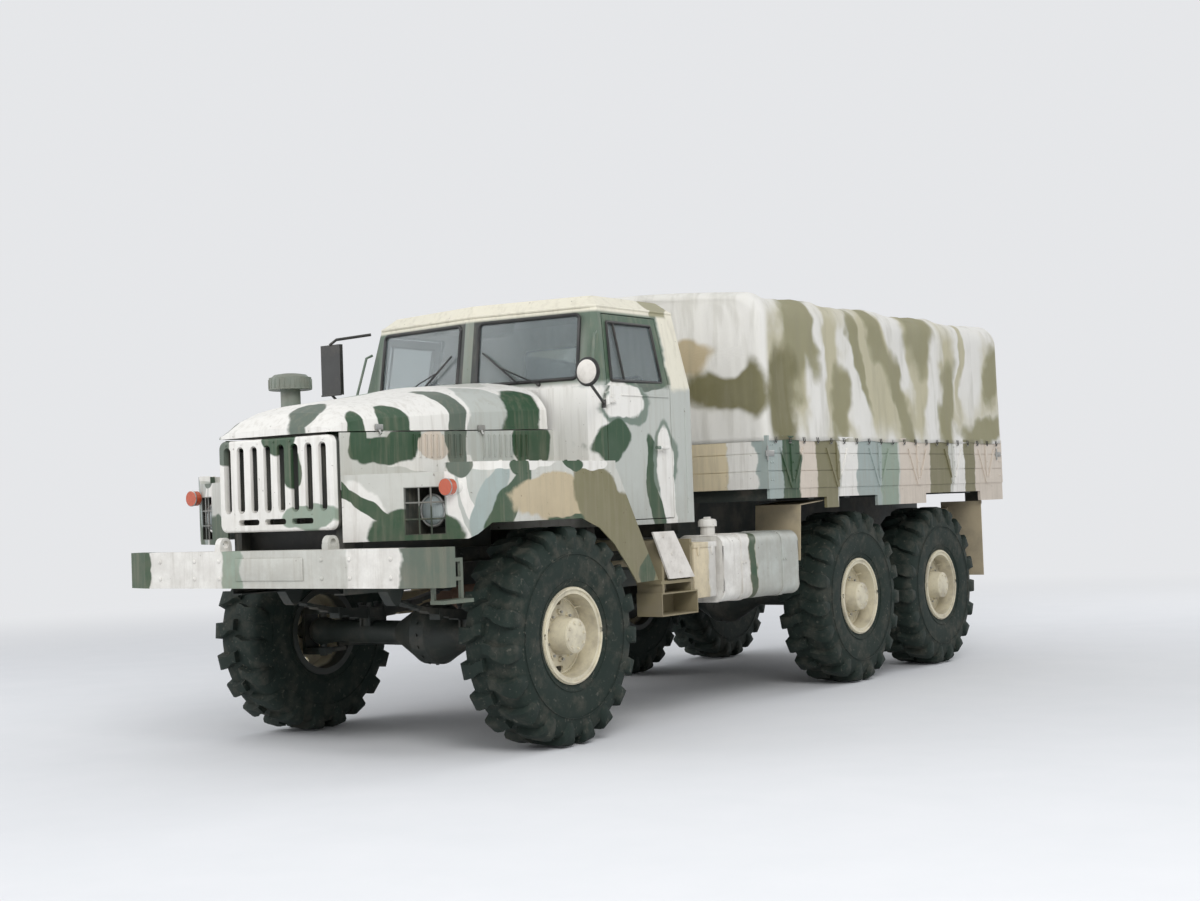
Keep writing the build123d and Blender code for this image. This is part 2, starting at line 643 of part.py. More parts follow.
with BuildPart() as wings:
    add(wing_block.part)
    add(wing_void.part, mode=Mode.SUBTRACT)
    add(cab_side_void.part, mode=Mode.SUBTRACT)
    edge_strip = [(x - 55, y + 30) for x, y in reversed(wing_nose[1:])]
    plan_prism(wing_nose[1:] + [(wing_x, axle_y + 440), (wing_x - 55, axle_y + 440)]
               + edge_strip, wing_top, wing_top + 48)
    recess_in = lamp_x - recess_half - 6
    recess_out = lamp_x + recess_half + 6
    plan_prism([(recess_in, wing_face(recess_in) + 2), (recess_out, wing_face(recess_out) + 2),
                (recess_out, recess_back), (recess_in, recess_back)],
               lamp_z - recess_high - 6, lamp_z + recess_high + 6)
    block(recess_in + 6, recess_out - 6, wing_front_in - 20, recess_back - 6,
          lamp_z - recess_high, lamp_z + recess_high, Mode.SUBTRACT)
    rod((marker_x, marker_y, marker_z), (marker_x, marker_y + 66, marker_z), 40)
    for bar_z in (lamp_z - 45, lamp_z + 45):
        rod((recess_in, wing_face(recess_in) + 6, bar_z),
            (recess_out, wing_face(recess_out) + 6, bar_z), 5)
    mirror(about=Plane.YZ)
save(wings, "wings")

# headlamps and marker lamps
rear_lamp_z = 1280.0
with BuildPart() as headlamps:
    for side in (-1, 1):
        rod((side * lamp_x, recess_back - 6 - seat_gap, lamp_z),
            (side * lamp_x, recess_back - 80, lamp_z), 92)
save(headlamps, "headlamps")

with BuildPart() as marker_lamps:
    for side in (-1, 1):
        rod((side * marker_x, marker_y - 46, marker_z),
            (side * marker_x, marker_y - seat_gap, marker_z), 45)
        rod((side * 1000, bed_rear - 100 + seat_gap, rear_lamp_z),
            (side * 1000, bed_rear - 50, rear_lamp_z), 52)
save(marker_lamps, "marker_lamps")

# cab: hollow, with a vee windscreen and sides that lean in above the belt
cab_plan_sill = [(0, cab_front), (cab_corner_x, cab_front),
                 (cab_half_width, cab_front + 60), (cab_half_width, cab_rear)]
cab_plan_low = [(0, cab_front), (925, cab_front + 100), (1005, cab_front + 125),
                (cab_half_width, cab_rear)]
cab_plan_high = [(0, cab_front + 75), (872, cab_front + 195), (905, cab_front + 215),
                 (915, cab_rear - 20)]
cab_plan_roof = [(0, cab_front + 115), (800, cab_front + 260), (830, cab_front + 280),
                 (840, cab_rear - 90)]
gutter_z = 2612.0
cab_wall = 30.0
cab_levels = (
    # plan, height, direction in which the wall thickness lies
    (cab_plan_sill, cab_floor, 1),
    (cab_plan_sill, belt_z, 0),
    (cab_plan_low, belt_z, 0),
    (cab_plan_high, gutter_z, 0),
    (cab_plan_roof, cab_top, -1),
)


def cab_section(points, z, inset=0.0):
    """Closed plan section of the cab at one height, drawn from its left half."""
    left = [(max(x - inset, 0), y + inset) for x, y in points[:-1]]
    left.append((points[-1][0] - inset, points[-1][1] - inset))
    right = [(-x, y) for x, y in reversed(left) if x > 0]
    with BuildSketch(Plane.XY.offset(z)) as section:
        with BuildLine():
            Polyline(*left, *right, close=True)
        make_face()
    return section.sketch


def cab_body(inset):
    """The cab's outer form, shrunk on every side by the inset."""
    sill, waist, waist_in, gutter, roof = (
        cab_section(points, z + way * inset, inset) for points, z, way in cab_levels
    )
    with BuildPart() as body:
        loft([sill, waist], ruled=True)
        loft([waist_in, gutter], ruled=True)
        loft([gutter, roof], ruled=True)
        block(-cab_half_width * 0.8, cab_half_width * 0.8, cab_front + 150, cab_rear - 60,
              belt_z - 40, belt_z + 40)
    return body.part


cab_skin = cab_body(0)
cab_void = cab_body(cab_wall)


def pane_plane(side):
    """Plane on one half of the vee windscreen, x along its foot."""
    base_in = Vector(0, cab_front, belt_z)
    base_out = Vector(side * 925, cab_front + 100, belt_z)
    top_in = Vector(0, cab_front + 75, gutter_z)
    foot = (base_out - base_in).normalized() * side
    normal = foot.cross(top_in - base_in)
    middle = (base_in + base_out + top_in + Vector(side * 872, cab_front + 195, gutter_z)) / 4
    return Plane(origin=middle, x_dir=foot, z_dir=normal)


def pane(side, grow):
    """Outline of one windscreen pane."""
    with BuildSketch(pane_plane(side)) as outline:
        RectangleRounded(740 + 2 * grow, 400 + 2 * grow, 30)
    return outline.sketch


door_front = cab_front + 112
door_hinge_y = door_front - 8
door_hinge_x = cab_half_width + 16
door_hinge_levels = (1520.0, 2020.0)
door_rear = cab_front + 815
door_low = cab_floor + cab_wall + seat_gap
door_high = gutter_z - 50


def door_outline(inset):
    """Side outline of a door, its lower front corner cut back over the mudguard."""
    return [(door_front + 148 + inset, door_low + inset), (door_rear - inset, door_low + inset),
            (door_rear - inset, door_high - inset), (door_front + 130 + inset, door_high - inset),
            (door_front + 45 + inset, belt_z + 6), (door_front + inset, belt_z - 30),
            (door_front + inset, door_low + 240)]


def door_window(inset):
    """Side outline of a door's window."""
    return [(door_front + 95 + inset, belt_z + 35 + inset),
            (door_rear - 60 - inset, belt_z + 35 + inset),
            (door_rear - 60 - inset, door_high - 55 - inset),
            (door_front + 165 + inset, door_high - 55 - inset)]


with BuildPart() as cab_shell:
    add(cab_skin)
    add(cab_void, mode=Mode.SUBTRACT)
    for hinge in hood_hinges:
        for end in (-1, 1):
            cheek = hinge[0] + end * (34.5 + seat_gap)
            block(cheek - 4.5, cheek + 4.5, hood_hinge_y - 9, cab_front + 60,
                  hood_hinge_z - 60, hood_hinge_z + 8)
        hinge_pin(hinge, (1, 0, 0), 30)
    for side in (-1, 1):
        extrude(pane(side, 0), amount=80, both=True, mode=Mode.SUBTRACT)
        low, high = sorted((side * 780, side * (cab_half_width + 50)))
        side_prism(door_outline(0), low, high, Mode.SUBTRACT)
        for level in door_hinge_levels:
            hinge_pin((side * door_hinge_x, door_hinge_y, level), (0, 0, 1), 30)
            lug_in, lug_out = sorted((side * (cab_half_width - 4), side * door_hinge_x))
            for lug_z in (level - 39 - seat_gap, level + 30 + seat_gap):
                block(lug_in, lug_out, door_hinge_y - 14, door_hinge_y + 8, lug_z, lug_z + 9)
    with BuildSketch(Plane.XZ.offset(-cab_rear - 20)) as rear_window:
        with Locations((0, belt_z + 230)):
            RectangleRounded(620, 260, 40)
    extrude(rear_window.sketch, amount=120, dir=(0, -1, 0), mode=Mode.SUBTRACT)
save(cab_shell, "cab_shell")

with BuildPart() as cab_glass:
    for side in (-1, 1):
        extrude(pane(side, -seat_gap), amount=-6)
    with BuildSketch(Plane.XZ.offset(-cab_rear + 22)) as rear_glass:
        with Locations((0, belt_z + 230)):
            RectangleRounded(620 - 2 * seat_gap, 260 - 2 * seat_gap, 39)
    extrude(rear_glass.sketch, amount=6, dir=(0, -1, 0))
save(cab_glass, "cab_glass")

glass_outer = cab_body(12)
glass_inner = cab_body(18)
for side, hand in ((1, "left"), (-1, "right")):
    low, high = sorted((side * 780, side * (cab_half_width + 50)))
    with BuildPart() as door:
        add(cab_skin)
        add(cab_void, mode=Mode.SUBTRACT)
        side_prism(door_outline(gap), low, high, Mode.INTERSECT)
        side_prism(door_window(0), low, high, Mode.SUBTRACT)
        rod((side * (cab_half_width + 30), door_rear - 100, 1720),
            (side * (cab_half_width - 10), door_rear - 100, 1720), 12)
        rod((side * (cab_half_width + 30), door_rear - 220, 1720),
            (side * (cab_half_width + 30), door_rear - 90, 1720), 11)
        for level in door_hinge_levels:
            eye = (side * door_hinge_x, door_hinge_y, level)
            hinge_eye(eye, (0, 0, 1), 30)
            strap_in, strap_out = sorted((side * (cab_half_width + 3), side * door_hinge_x))
            block(strap_in, strap_out, door_hinge_y, door_front + 90, level - 26, level + 26)
            root_in, root_out = sorted((side * (cab_half_width - 6), side * door_hinge_x))
            block(root_in, root_out, door_front + 20, door_front + 90, level - 26, level + 26)
            hinge_bore(eye, (0, 0, 1), 30)
    save(door, f"door_{hand}")
    with BuildPart() as door_glass:
        add(glass_outer)
        add(glass_inner, mode=Mode.SUBTRACT)
        side_prism(door_window(seat_gap), low, high, Mode.INTERSECT)
    save(door_glass, f"door_glass_{hand}")

# inside the cab
wheel_centre = Vector(480, cab_front + 370, 1990)
column_foot = Vector(480, cab_front + 150, 1780)
with BuildPart() as dash_panel:
    dash_front = cab_front + cab_wall + seat_gap
    side_prism([(dash_front, 1960), (dash_front, belt_z - cab_wall - 4),
                (cab_front + 270, belt_z - 50), (cab_front + 280, 1930)], -915, 915)
    rod(tuple(wheel_centre), tuple(column_foot), 26.4, Mode.SUBTRACT)
save(dash_panel, "dash_panel")
wheel_radius = 212.0
with BuildPart() as steering_wheel:
    tilt = Plane(origin=wheel_centre, z_dir=wheel_centre - column_foot)
    rim_start = Plane(origin=tilt.from_local_coords((wheel_radius, 0, 12)),
                      x_dir=tilt.x_dir, z_dir=tilt.y_dir)
    with BuildSketch(rim_start) as rim_ring:
        Circle(13)
    revolve(rim_ring.sketch, Axis(tilt.origin, tilt.z_dir))
    with BuildSketch(tilt) as spokes:
        Rectangle(2 * wheel_radius - 4, 26)
        Circle(44)
    extrude(spokes.sketch, amount=16)
    rod(tuple(wheel_centre), tuple(column_foot), 26)
save(steering_wheel, "steering_wheel")
floor_top = cab_floor + cab_wall + seat_gap
with BuildPart() as seats:
    for seat_left, seat_right in ((215, 745), (-760, 90)):
        middle = (seat_left + seat_right) / 2
        seat_width = seat_right - seat_left
        block(seat_left + 30, seat_right - 30, cab_front + 560, cab_rear - 90, floor_top, 1620)
        with BuildSketch(Plane.YZ.offset(seat_left)) as cushion:
            with Locations(((cab_front + 500 + cab_rear - 80) / 2, 1680)):
                RectangleRounded(cab_rear - cab_front - 580, 130, 45)
        extrude(cushion.sketch, amount=seat_width, dir=(1, 0, 0))
        side_prism([(cab_rear - 200, 1720), (cab_rear - 80, 1700), (cab_rear - 42, 2200),
                    (cab_rear - 60, 2235), (cab_rear - 120, 2240), (cab_rear - 140, 2210)],
                   seat_left, seat_right)
save(seats, "seats")

# steps under the doors
with BuildPart() as steps:
    for side in (-1, 1):
        step_in, step_out = sorted((side * (rail_x + 60), side * 1190))
        tread_in, tread_out = sorted((side * 1000, side * 1190))
        block(tread_in, tread_out, axle_y + 880, axle_y + 1242, 870, 889)
        for leg_y in (axle_y + 890, axle_y + 1210):
            block(tread_in, tread_out, leg_y, leg_y + 22, 815, 1140)
            reach_in, reach_out = sorted((side * (rail_x + seat_gap), side * 1190))
            block(reach_in, reach_out, leg_y, leg_y + 22, 1080, 1140)
        block(tread_in, tread_out, axle_y + 880, axle_y + 1285, 671, 815)
        low, high = sorted((side * 1008, side * (1190 + 10)))
        block(low, high, axle_y + 888, axle_y + 1277, 679, 807, Mode.SUBTRACT)
save(steps, "steps")

# fuel tank on the left, battery box and air tanks on the right
tank_front = cab_rear + 65
tank_rear = mid_y - 960
with BuildPart() as fuel_tank:
    with BuildSketch(Plane.XZ.offset(-tank_front)) as tank_face:
        with Locations(((845 + 1200) / 2, (714 + 1148) / 2)):
            RectangleRounded(355, 434, 70)
    extrude(tank_face.sketch, amount=tank_rear - tank_front, dir=(0, 1, 0))
    rod((1010, tank_front + 120, 1100), (1010, tank_front + 120, 1215), 48)
    rod((1010, tank_front + 120, 1205), (1010, tank_front + 120, 1240), 62)
    for strap_y in (tank_front + 250, tank_rear - 200):
        block(rail_x + seat_gap, 860, strap_y - 30, strap_y + 30, 1060, 1110)
        with BuildSketch(Plane.XZ.offset(-strap_y + 30)) as strap:
            with Locations(((845 + 1200) / 2, (714 + 1148) / 2)):
                RectangleRounded(367, 446, 76)
        extrude(strap.sketch, amount=60, dir=(0, 1, 0))
save(fuel_tank, "fuel_tank")
with BuildPart() as side_boxes:
    block(-1190, -800, tank_front, tank_front + 430, 740, 1130)
    rod((-1000, tank_front + 470, 820), (-1000, tank_rear - 20, 820), 120)
    rod((-1000, tank_front + 470, 1075), (-1000, tank_rear - 20, 1075), 120)
    block(-1190, -rail_x - seat_gap, tank_front + 200, tank_front + 240, 1060, 1120)
    block(-1080, -rail_x - seat_gap, tank_rear - 120, tank_rear - 80, 930, 990)
    block(-1080, -rail_x - seat_gap, tank_front + 480, tank_front + 520, 930, 990)
save(side_boxes, "side_boxes")
with BuildPart() as exhaust:
    rod((-620, axle_y + 880, 800), (-620, cab_rear + 30, 800), 105)
    rod((-620, cab_rear + 20, 800), (-620, mid_y - 700, 800), 40)
    block(-640, -600, axle_y + 980, axle_y + 1010, 860, rail_bottom + 20)
    block(-640, -rail_x - seat_gap, axle_y + 980, axle_y + 1010, rail_bottom, rail_bottom + 40)
save(exhaust, "exhaust")

# load bed: floor on cross beams, side boards, headboard and tailgate
board = 28.0
beam_low = bed_bottom - 80
gate_hinge_z = bed_bottom - 8
gate_hinges = [(x, bed_rear - board / 2, gate_hinge_z) for x in (-800, 0, 800)]
with BuildPart() as bed_floor:
    block(-bed_x + board + seat_gap, bed_x - board - seat_gap, bed_front + board + seat_gap,
          bed_rear - board - gap - 4, bed_bottom + 20, bed_bottom + 60)
    for side in (-1, 1):
        low, high = sorted((side * (rail_x - 80), side * rail_x))
        block(low, high, bed_front + 60, bed_rear - 60, rail_top + seat_gap, beam_low)
    beams = 8
    for n in range(beams):
        beam_y = bed_front + 100 + (bed_rear - bed_front - 220) * n / (beams - 1)
        block(-bed_x + board + 4, bed_x - board - 4, beam_y - 40, beam_y + 40,
              beam_low, bed_bottom + 20)
    for side in (-1, 1):
        low, high = sorted((side * 930, side * 1070))
        block(low, high, bed_rear - 110, bed_rear - 100, rear_lamp_z - 55, bed_bottom - 60)
    for hinge in gate_hinges:
        for end in (-1, 1):
            cheek = hinge[0] + end * (34.5 + seat_gap)
            block(cheek - 4.5, cheek + 4.5, bed_rear - 100, bed_rear - 6,
                  gate_hinge_z - 14, gate_hinge_z + 12)
        hinge_pin(hinge, (1, 0, 0), 30)
save(bed_floor, "bed_floor")

plank_count = 3
plank_gap = 6.0
post_count = 6
plank_step = board_height / plank_count
with BuildPart() as bed_sides:
    for side in (-1, 1):
        low, high = sorted((side * (bed_x - board), side * bed_x))
        block(low, high, bed_front, bed_rear, bed_bottom, board_top)
        for n in range(1, plank_count):
            groove = bed_bottom + plank_step * n
            for face in (bed_x, bed_x - board):
                groove_in, groove_out = sorted((side * (face - 5), side * (face + 5)))
                block(groove_in, groove_out, bed_front - 1, bed_rear + 1,
                      groove - plank_gap / 2, groove + plank_gap / 2, Mode.SUBTRACT)
        rim_low, rim_high = sorted((side * (bed_x - board), side * (bed_x - 6)))
        block(rim_low, rim_high, bed_front + 20, bed_rear, 1372, bed_bottom)
        for skirt_y0, skirt_y1 in ((mid_y - 565, mid_y - 386), (mid_y + 163 + 60, rear_y - 342),
                                   (bed_rear - 469, bed_rear)):
            block(rim_low, rim_high, skirt_y0, skirt_y1, 1295, 1380)
        stay_low, stay_high = sorted((side * (bed_x - 2), side * (body_width / 2 - 7)))
        for n in range(post_count):
            post_y = bed_front + 330 + (bed_rear - bed_front - 660) * n / (post_count - 1)
            side_prism([(post_y - 26, board_top - 40), (post_y + 26, board_top - 40),
                        (post_y + 14, bed_bottom), (post_y - 14, bed_bottom)],
                       stay_low, stay_high)
            for lean in (-1, 1):
                side_prism([(post_y, bed_bottom), (post_y + lean * 26, bed_bottom),
                            (post_y + lean * 172, board_top - 80),
                            (post_y + lean * 146, board_top - 80)], stay_low, stay_high)
    block(-bed_x + 4, bed_x - 4, bed_front, bed_front + board, bed_bottom, board_top)
    for n in range(1, plank_count):
        groove = bed_bottom + plank_step * n
        block(-bed_x + 60, bed_x - 60, bed_front - 1, bed_front + 5, groove - plank_gap / 2,
              groove + plank_gap / 2, Mode.SUBTRACT)
save(bed_sides, "bed_sides")

gate_y = bed_rear - board
with BuildPart() as tailgate:
    block(-bed_x + board + gap, bed_x - board - gap, gate_y, bed_rear, bed_bottom + gap + 2,
          board_top)
    for n in range(1, plank_count):
        groove = bed_bottom + plank_step * n
        block(-bed_x, bed_x, bed_rear - 5, bed_rear + 5, groove - plank_gap / 2,
              groove + plank_gap / 2, Mode.SUBTRACT)
    for hinge in gate_hinges:
        hinge_eye(hinge, (1, 0, 0), 30)
        block(hinge[0] - 30, hinge[0] + 30, bed_rear - board / 2 - 6, bed_rear - board / 2 + 6,
              gate_hinge_z, bed_bottom + 40)
        block(hinge[0] - 24, hinge[0] + 24, bed_rear - 2, bed_rear + 5, bed_bottom + gap + 4,
              board_top - 30)
        hinge_bore(hinge, (1, 0, 0), 30)
save(tailgate, "tailgate")

# hoops and cover
tarp_x = body_width / 2
hoop_x = bed_x - board / 2
hoop_radius = board / 2 - 0.5
with BuildPart() as bows:
    for hoop_y in (bed_front + 60, axle_y + 2960, axle_y + 3980, axle_y + 4950, bed_rear - 60):
        leg = board_top + 2 * seat_gap
        top = tarp_top - 32
        lean_x = hoop_x - 22
        with BuildLine() as hoop:
            FilletPolyline((-hoop_x, hoop_y, leg), (-lean_x, hoop_y, top - 86),
                           (0, hoop_y, top), (lean_x, hoop_y, top - 86),
                           (hoop_x, hoop_y, leg), radius=170)
        with BuildSketch(Plane(origin=(-hoop_x, hoop_y, leg), z_dir=(0, 0, 1))) as tube:
            RegularPolygon(hoop_radius, 8)
        sweep(tube.sketch, path=hoop.line)
save(bows, "bows")


def cover_section(y, inset, foot):
    """Cross section of the cover at a station."""
    half = tarp_x - inset
    eave = tarp_top - 70 - inset
    crown = tarp_top - inset
    corner = 190.0 - inset
    with BuildSketch(Plane.XZ.offset(-y)) as section:
        with BuildLine():
            Line((-half, foot), (half, foot))
            Line((half, foot), (half - 12, eave - corner))
            ThreePointArc((half - 12, eave - corner), (half - 66, eave - 58),
                          (half - corner, eave))
            Line((half - corner, eave), (0, crown))
            Line((0, crown), (-half + corner, eave))
            ThreePointArc((-half + corner, eave), (-half + 66, eave - 58),
                          (-half + 12, eave - corner))
            Line((-half + 12, eave - corner), (-half, foot))
        make_face()
    return section.sketch


cover = 6.0
hem_z = board_top - 30
with BuildPart() as tarp:
    cover_front = bed_front - cover - seat_gap
    cover_run = bed_rear + 10 - cover_front
    extrude(cover_section(cover_front, 0, hem_z), amount=cover_run, dir=(0, 1, 0))
    extrude(cover_section(cover_front + cover, cover, hem_z - 1), amount=cover_run - 2 * cover,
            dir=(0, 1, 0), mode=Mode.SUBTRACT)
    block(-bed_x - 2, bed_x + 2, bed_rear - 60, bed_rear + 20, hem_z - 10, board_top + gap,
          Mode.SUBTRACT)
save(tarp, "tarp")

# mudguards: slanted ahead of the middle wheels, flat panels behind the last ones
guard_top = beam_low - 7
with BuildPart() as mud_guards:
    for side in (-1, 1):
        low, high = sorted((side * (track / 2 - 170), side * (bed_x - 40)))
        side_prism([(mid_y - 885, guard_top - 33), (mid_y - 520, guard_top - 6),
                    (mid_y - 520, guard_top), (mid_y - 891, guard_top - 27),
                    (mid_y - 923, 937), (mid_y - 917, 937)], low, high)
        panel_y = bed_rear - 391
        side_prism([(panel_y, 666), (panel_y + 6, 666), (panel_y + 6, 1290), (panel_y, 1290)],
                   low, high)
        low, high = sorted((side * (rail_x + seat_gap), side * 900))
        block(low, high, panel_y - 40, panel_y, 1200, 1240)
        low, high = sorted((side * (rail_x + seat_gap), side * 860))
        block(low, high, mid_y - 908, mid_y - 875, 1080, 1120)
save(mud_guards, "mud_guards")

# towing hitch at the rear
with BuildPart() as tow_hitch:
    block(-110, 110, length / 2 - 60 + seat_gap, length / 2 - 40, rail_bottom + 20, rail_top - 20)
    rod((0, length / 2 - 45, rail_bottom + 110), (0, length / 2 - 30, rail_bottom + 110), 40)
    block(-30, 30, length / 2 - 35, length / 2, rail_bottom + 70, rail_bottom + 150)
save(tow_hitch, "tow_hitch")

# mirrors: a round one forward on the left, a tall one at the right pillar
mirror_x = cab_half_width + 270
with BuildPart() as mirrors:
    round_at = (mirror_x - 78, axle_y + 140, 2150)
    rod(round_at, (round_at[0], round_at[1] + 28, round_at[2]), 78)
    block(cab_half_width + seat_gap, cab_half_width + 18, cab_front + 62, cab_front + 84,
          1960, 2010)
    rod((cab_half_width + 13, cab_front + 73, 1985),
        (round_at[0], round_at[1] + 20, round_at[2] - 60), 9)
    block(-mirror_x, -mirror_x + 180, axle_y + 500, axle_y + 530, 2184, 2527)
    block(-cab_half_width - 18, -cab_half_width - seat_gap, cab_front + 62, cab_front + 84,
          1960, 2010)
    rod((-cab_half_width - 13, cab_front + 73, 2000), (-mirror_x + 60, axle_y + 520, 2200), 9)
save(mirrors, "mirrors")

# air intake on the right wing
with BuildPart() as air_intake:
    rod((-770, axle_y - 300, wing_top + seat_gap), (-770, axle_y - 300, 2180), 62)
    rod((-770, axle_y - 300, 2165), (-770, axle_y - 300, 2240), 132)
save(air_intake, "air_intake")
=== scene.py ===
import math

import bmesh
import bpy
from mathutils import Matrix, Vector


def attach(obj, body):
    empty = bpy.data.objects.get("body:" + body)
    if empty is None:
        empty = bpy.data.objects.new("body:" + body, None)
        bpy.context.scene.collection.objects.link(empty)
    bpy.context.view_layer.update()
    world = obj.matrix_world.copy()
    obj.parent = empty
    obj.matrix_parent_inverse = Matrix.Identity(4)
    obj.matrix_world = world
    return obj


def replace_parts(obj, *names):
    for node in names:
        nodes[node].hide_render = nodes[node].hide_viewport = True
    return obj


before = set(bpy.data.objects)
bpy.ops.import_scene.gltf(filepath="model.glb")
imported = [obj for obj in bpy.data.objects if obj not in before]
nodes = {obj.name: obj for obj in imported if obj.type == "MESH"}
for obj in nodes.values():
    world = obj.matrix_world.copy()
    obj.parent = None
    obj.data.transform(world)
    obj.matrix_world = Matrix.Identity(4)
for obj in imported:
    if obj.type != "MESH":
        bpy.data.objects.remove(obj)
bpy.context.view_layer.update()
print("frame loaded:", len(nodes), "pieces")

# stations of the truck in metres, as in the part
axleY, midY, rearY, hubZ = -2.443, 1.082, 2.482, 0.63
bedFront, bedRear, bedX = -0.298, 3.653, 1.235
cabFront, cabRear, cabHalf, beltZ, screenTop = -1.963, -0.918, 1.03, 2.10, 2.612
noseFront = -3.563


# shader maths: a socket that can be written in sums
class Wave:
    def __init__(self, graph, socket):
        self.graph = graph
        self.socket = socket

    def math(self, operation, *others, first=None):
        terms = [self, *others] if first is None else [first, self, *others]
        return self.graph.make("ShaderNodeMath", {"operation": operation}, terms)

    def __add__(self, other):
        return self.math("ADD", other)

    def __radd__(self, other):
        return self.math("ADD", first=other)

    def __sub__(self, other):
        return self.math("SUBTRACT", other)

    def __rsub__(self, other):
        return self.math("SUBTRACT", first=other)

    def __mul__(self, other):
        return self.math("MULTIPLY", other)

    def __rmul__(self, other):
        return self.math("MULTIPLY", first=other)

    def __abs__(self):
        return self.math("ABSOLUTE")

    def over(self, edge, soft):  # 0 below the edge, 1 above it
        return self.graph.make("ShaderNodeMapRange", {"interpolation_type": "SMOOTHSTEP"},
                               [self, edge - soft, edge + soft, 0.0, 1.0])


class Graph:
    def __init__(self, owner):
        self.material = bpy.data.materials.new(owner) if isinstance(owner, str) else owner
        self.material.use_nodes = True
        self.tree = self.material.node_tree
        self.tree.nodes.clear()

    # one node: its settings first, then its sockets in order or by name
    def make(self, kind, settings=None, inputs=(), out=0):
        node = self.tree.nodes.new(kind)
        for key, value in (settings or {}).items():
            setattr(node, key, value)
        for key, value in inputs.items() if isinstance(inputs, dict) else enumerate(inputs):
            socket = node.inputs[key]
            if isinstance(value, Wave):
                self.tree.links.new(value.socket, socket)
            elif socket.type == "RGBA":
                socket.default_value = (*value, 1.0)
            else:
                socket.default_value = value
        return Wave(self, node.outputs[out]) if len(node.outputs) else None

    def place(self):
        return self.make("ShaderNodeTexCoord", out="Object")

    def axes(self, where):
        return [self.make("ShaderNodeSeparateXYZ", inputs=[where], out=n) for n in range(3)]

    def noise(self, where, scale, detail=3.0, rough=0.55):
        return self.make("ShaderNodeTexNoise", {}, {
            "Vector": where, "Scale": scale, "Detail": detail, "Roughness": rough})

    def stretch(self, where, scale=(1.0, 1.0, 1.0), shift=(0.0, 0.0, 0.0)):
        return self.make("ShaderNodeMapping", {}, {
            "Vector": where, "Scale": scale, "Location": shift})

    def blend(self, share, first, second):
        return self.make("ShaderNodeMix", {"data_type": "RGBA"},
                         {0: share, 6: first, 7: second}, out=2)

    def bump(self, height, strength, depth):
        return self.make("ShaderNodeBump", {}, {
            "Strength": strength, "Distance": depth, "Height": height}, out="Normal")

    def finish(self, **sockets):
        shader = self.make("ShaderNodeBsdfPrincipled", {}, {
            key.replace("_", " "): value for key, value in sockets.items()})
        self.make("ShaderNodeOutputMaterial", {}, [shader])
        return self.material


# camouflage colours, as painted
paint = {
    "white": (0.82, 0.80, 0.75), "pale": (0.58, 0.58, 0.53), "grey": (0.49, 0.51, 0.47),
    "bluegrey": (0.34, 0.40, 0.38), "sage": (0.27, 0.34, 0.27), "dull": (0.105, 0.135, 0.105),
    "green": (0.026, 0.070, 0.032), "rim": (0.17, 0.22, 0.18), "olive": (0.19, 0.175, 0.09),
    "khaki": (0.31, 0.29, 0.175), "tan": (0.52, 0.43, 0.28), "cream": (0.72, 0.62, 0.43),
    "pink": (0.66, 0.58, 0.49), "ivory": (0.76, 0.72, 0.59), "straw": (0.55, 0.51, 0.36),
    "frame": (0.055, 0.10, 0.06), "post": (0.21, 0.24, 0.20), "seal": (0.035, 0.04, 0.036),
    # recess colour: near-black painted shade for the lamp recess and the grille openings
    "hollow": (0.03, 0.035, 0.03), "faded": (0.84, 0.82, 0.76), "streak": (0.31, 0.27, 0.20),
    "mud": (0.20, 0.165, 0.12), "chip": (0.10, 0.06, 0.04),
}
rightShift = 0.37  # the right side's pattern is the left one's, moved along


# one painted patch: an ellipse turned in its plane, its edge made ragged by noise
def patchMask(graph, across, along, ragged, row, soft):
    _, u, v, ru, rv, turn = row
    c, s = math.cos(math.radians(turn)), math.sin(math.radians(turn))
    du, dv = across - u, along - v
    first = du * (c / ru) + dv * (s / ru)
    second = dv * (c / rv) - du * (s / rv)
    return (1.0 - (first * first + second * second + ragged)).over(0.0, soft)


def patched(graph, where, base, rows, across, along, soft=0.12, drift=0.17):
    ragged = (graph.noise(where, 6.0, 4.0) - 0.5) * 0.9
    edge = (graph.noise(where, 5.0) - 0.5) * 0.16
    # slow noise carries the patches off their ellipses
    u, v = (axis + (graph.noise(graph.stretch(where, shift=shift), 3.4, 2.0, 0.5) - 0.5) * drift
            for axis, shift in ((across, (7.3, 2.1, 4.4)), (along, (1.7, 9.2, 5.8))))
    colour = paint[base]
    for row in rows:
        if len(row) == 3:  # a band between two stations
            _, low, high = row
            wobble = across + edge
            mask = wobble.over(low, 0.010) * (1.0 - wobble.over(high, 0.010))
        else:
            mask = patchMask(graph, u, v, ragged, row, soft)
        colour = graph.blend(mask, colour, paint[row[0]])
    return colour


# faded paint, rain streaks, road dirt low down, chips and shallow dents
def weathered(graph, where, colour, dirt=0.35):
    z = graph.axes(where)[2]
    fade = graph.noise(where, 2.3, 5.0, 0.6)
    colour = graph.blend((fade - 0.45) * 0.16, colour, paint["faded"])
    streaks = graph.noise(graph.stretch(where, (9.0, 9.0, 0.7)), 3.0, 4.0, 0.6)
    colour = graph.blend(streaks.over(0.57, 0.11) * (0.6 * dirt), colour, paint["streak"])
    low = (1.30 - z).over(0.0, 0.7) * graph.noise(where, 6.0, 5.0, 0.7).over(0.45, 0.2)
    colour = graph.blend(low * dirt, colour, paint["mud"])
    chips = graph.noise(where, 38.0, 2.0).over(0.74, 0.02)
    colour = graph.blend(chips * 0.5, colour, paint["chip"])
    height = graph.noise(where, 160.0, 2.0) * 0.2 + graph.noise(where, 3.1, 2.0) * 1.6
    return graph.finish(Base_Color=colour, Roughness=0.5 + (fade - 0.5) * 0.25,
                        Specular_IOR_Level=0.4, Normal=graph.bump(height, 0.35, 0.004))


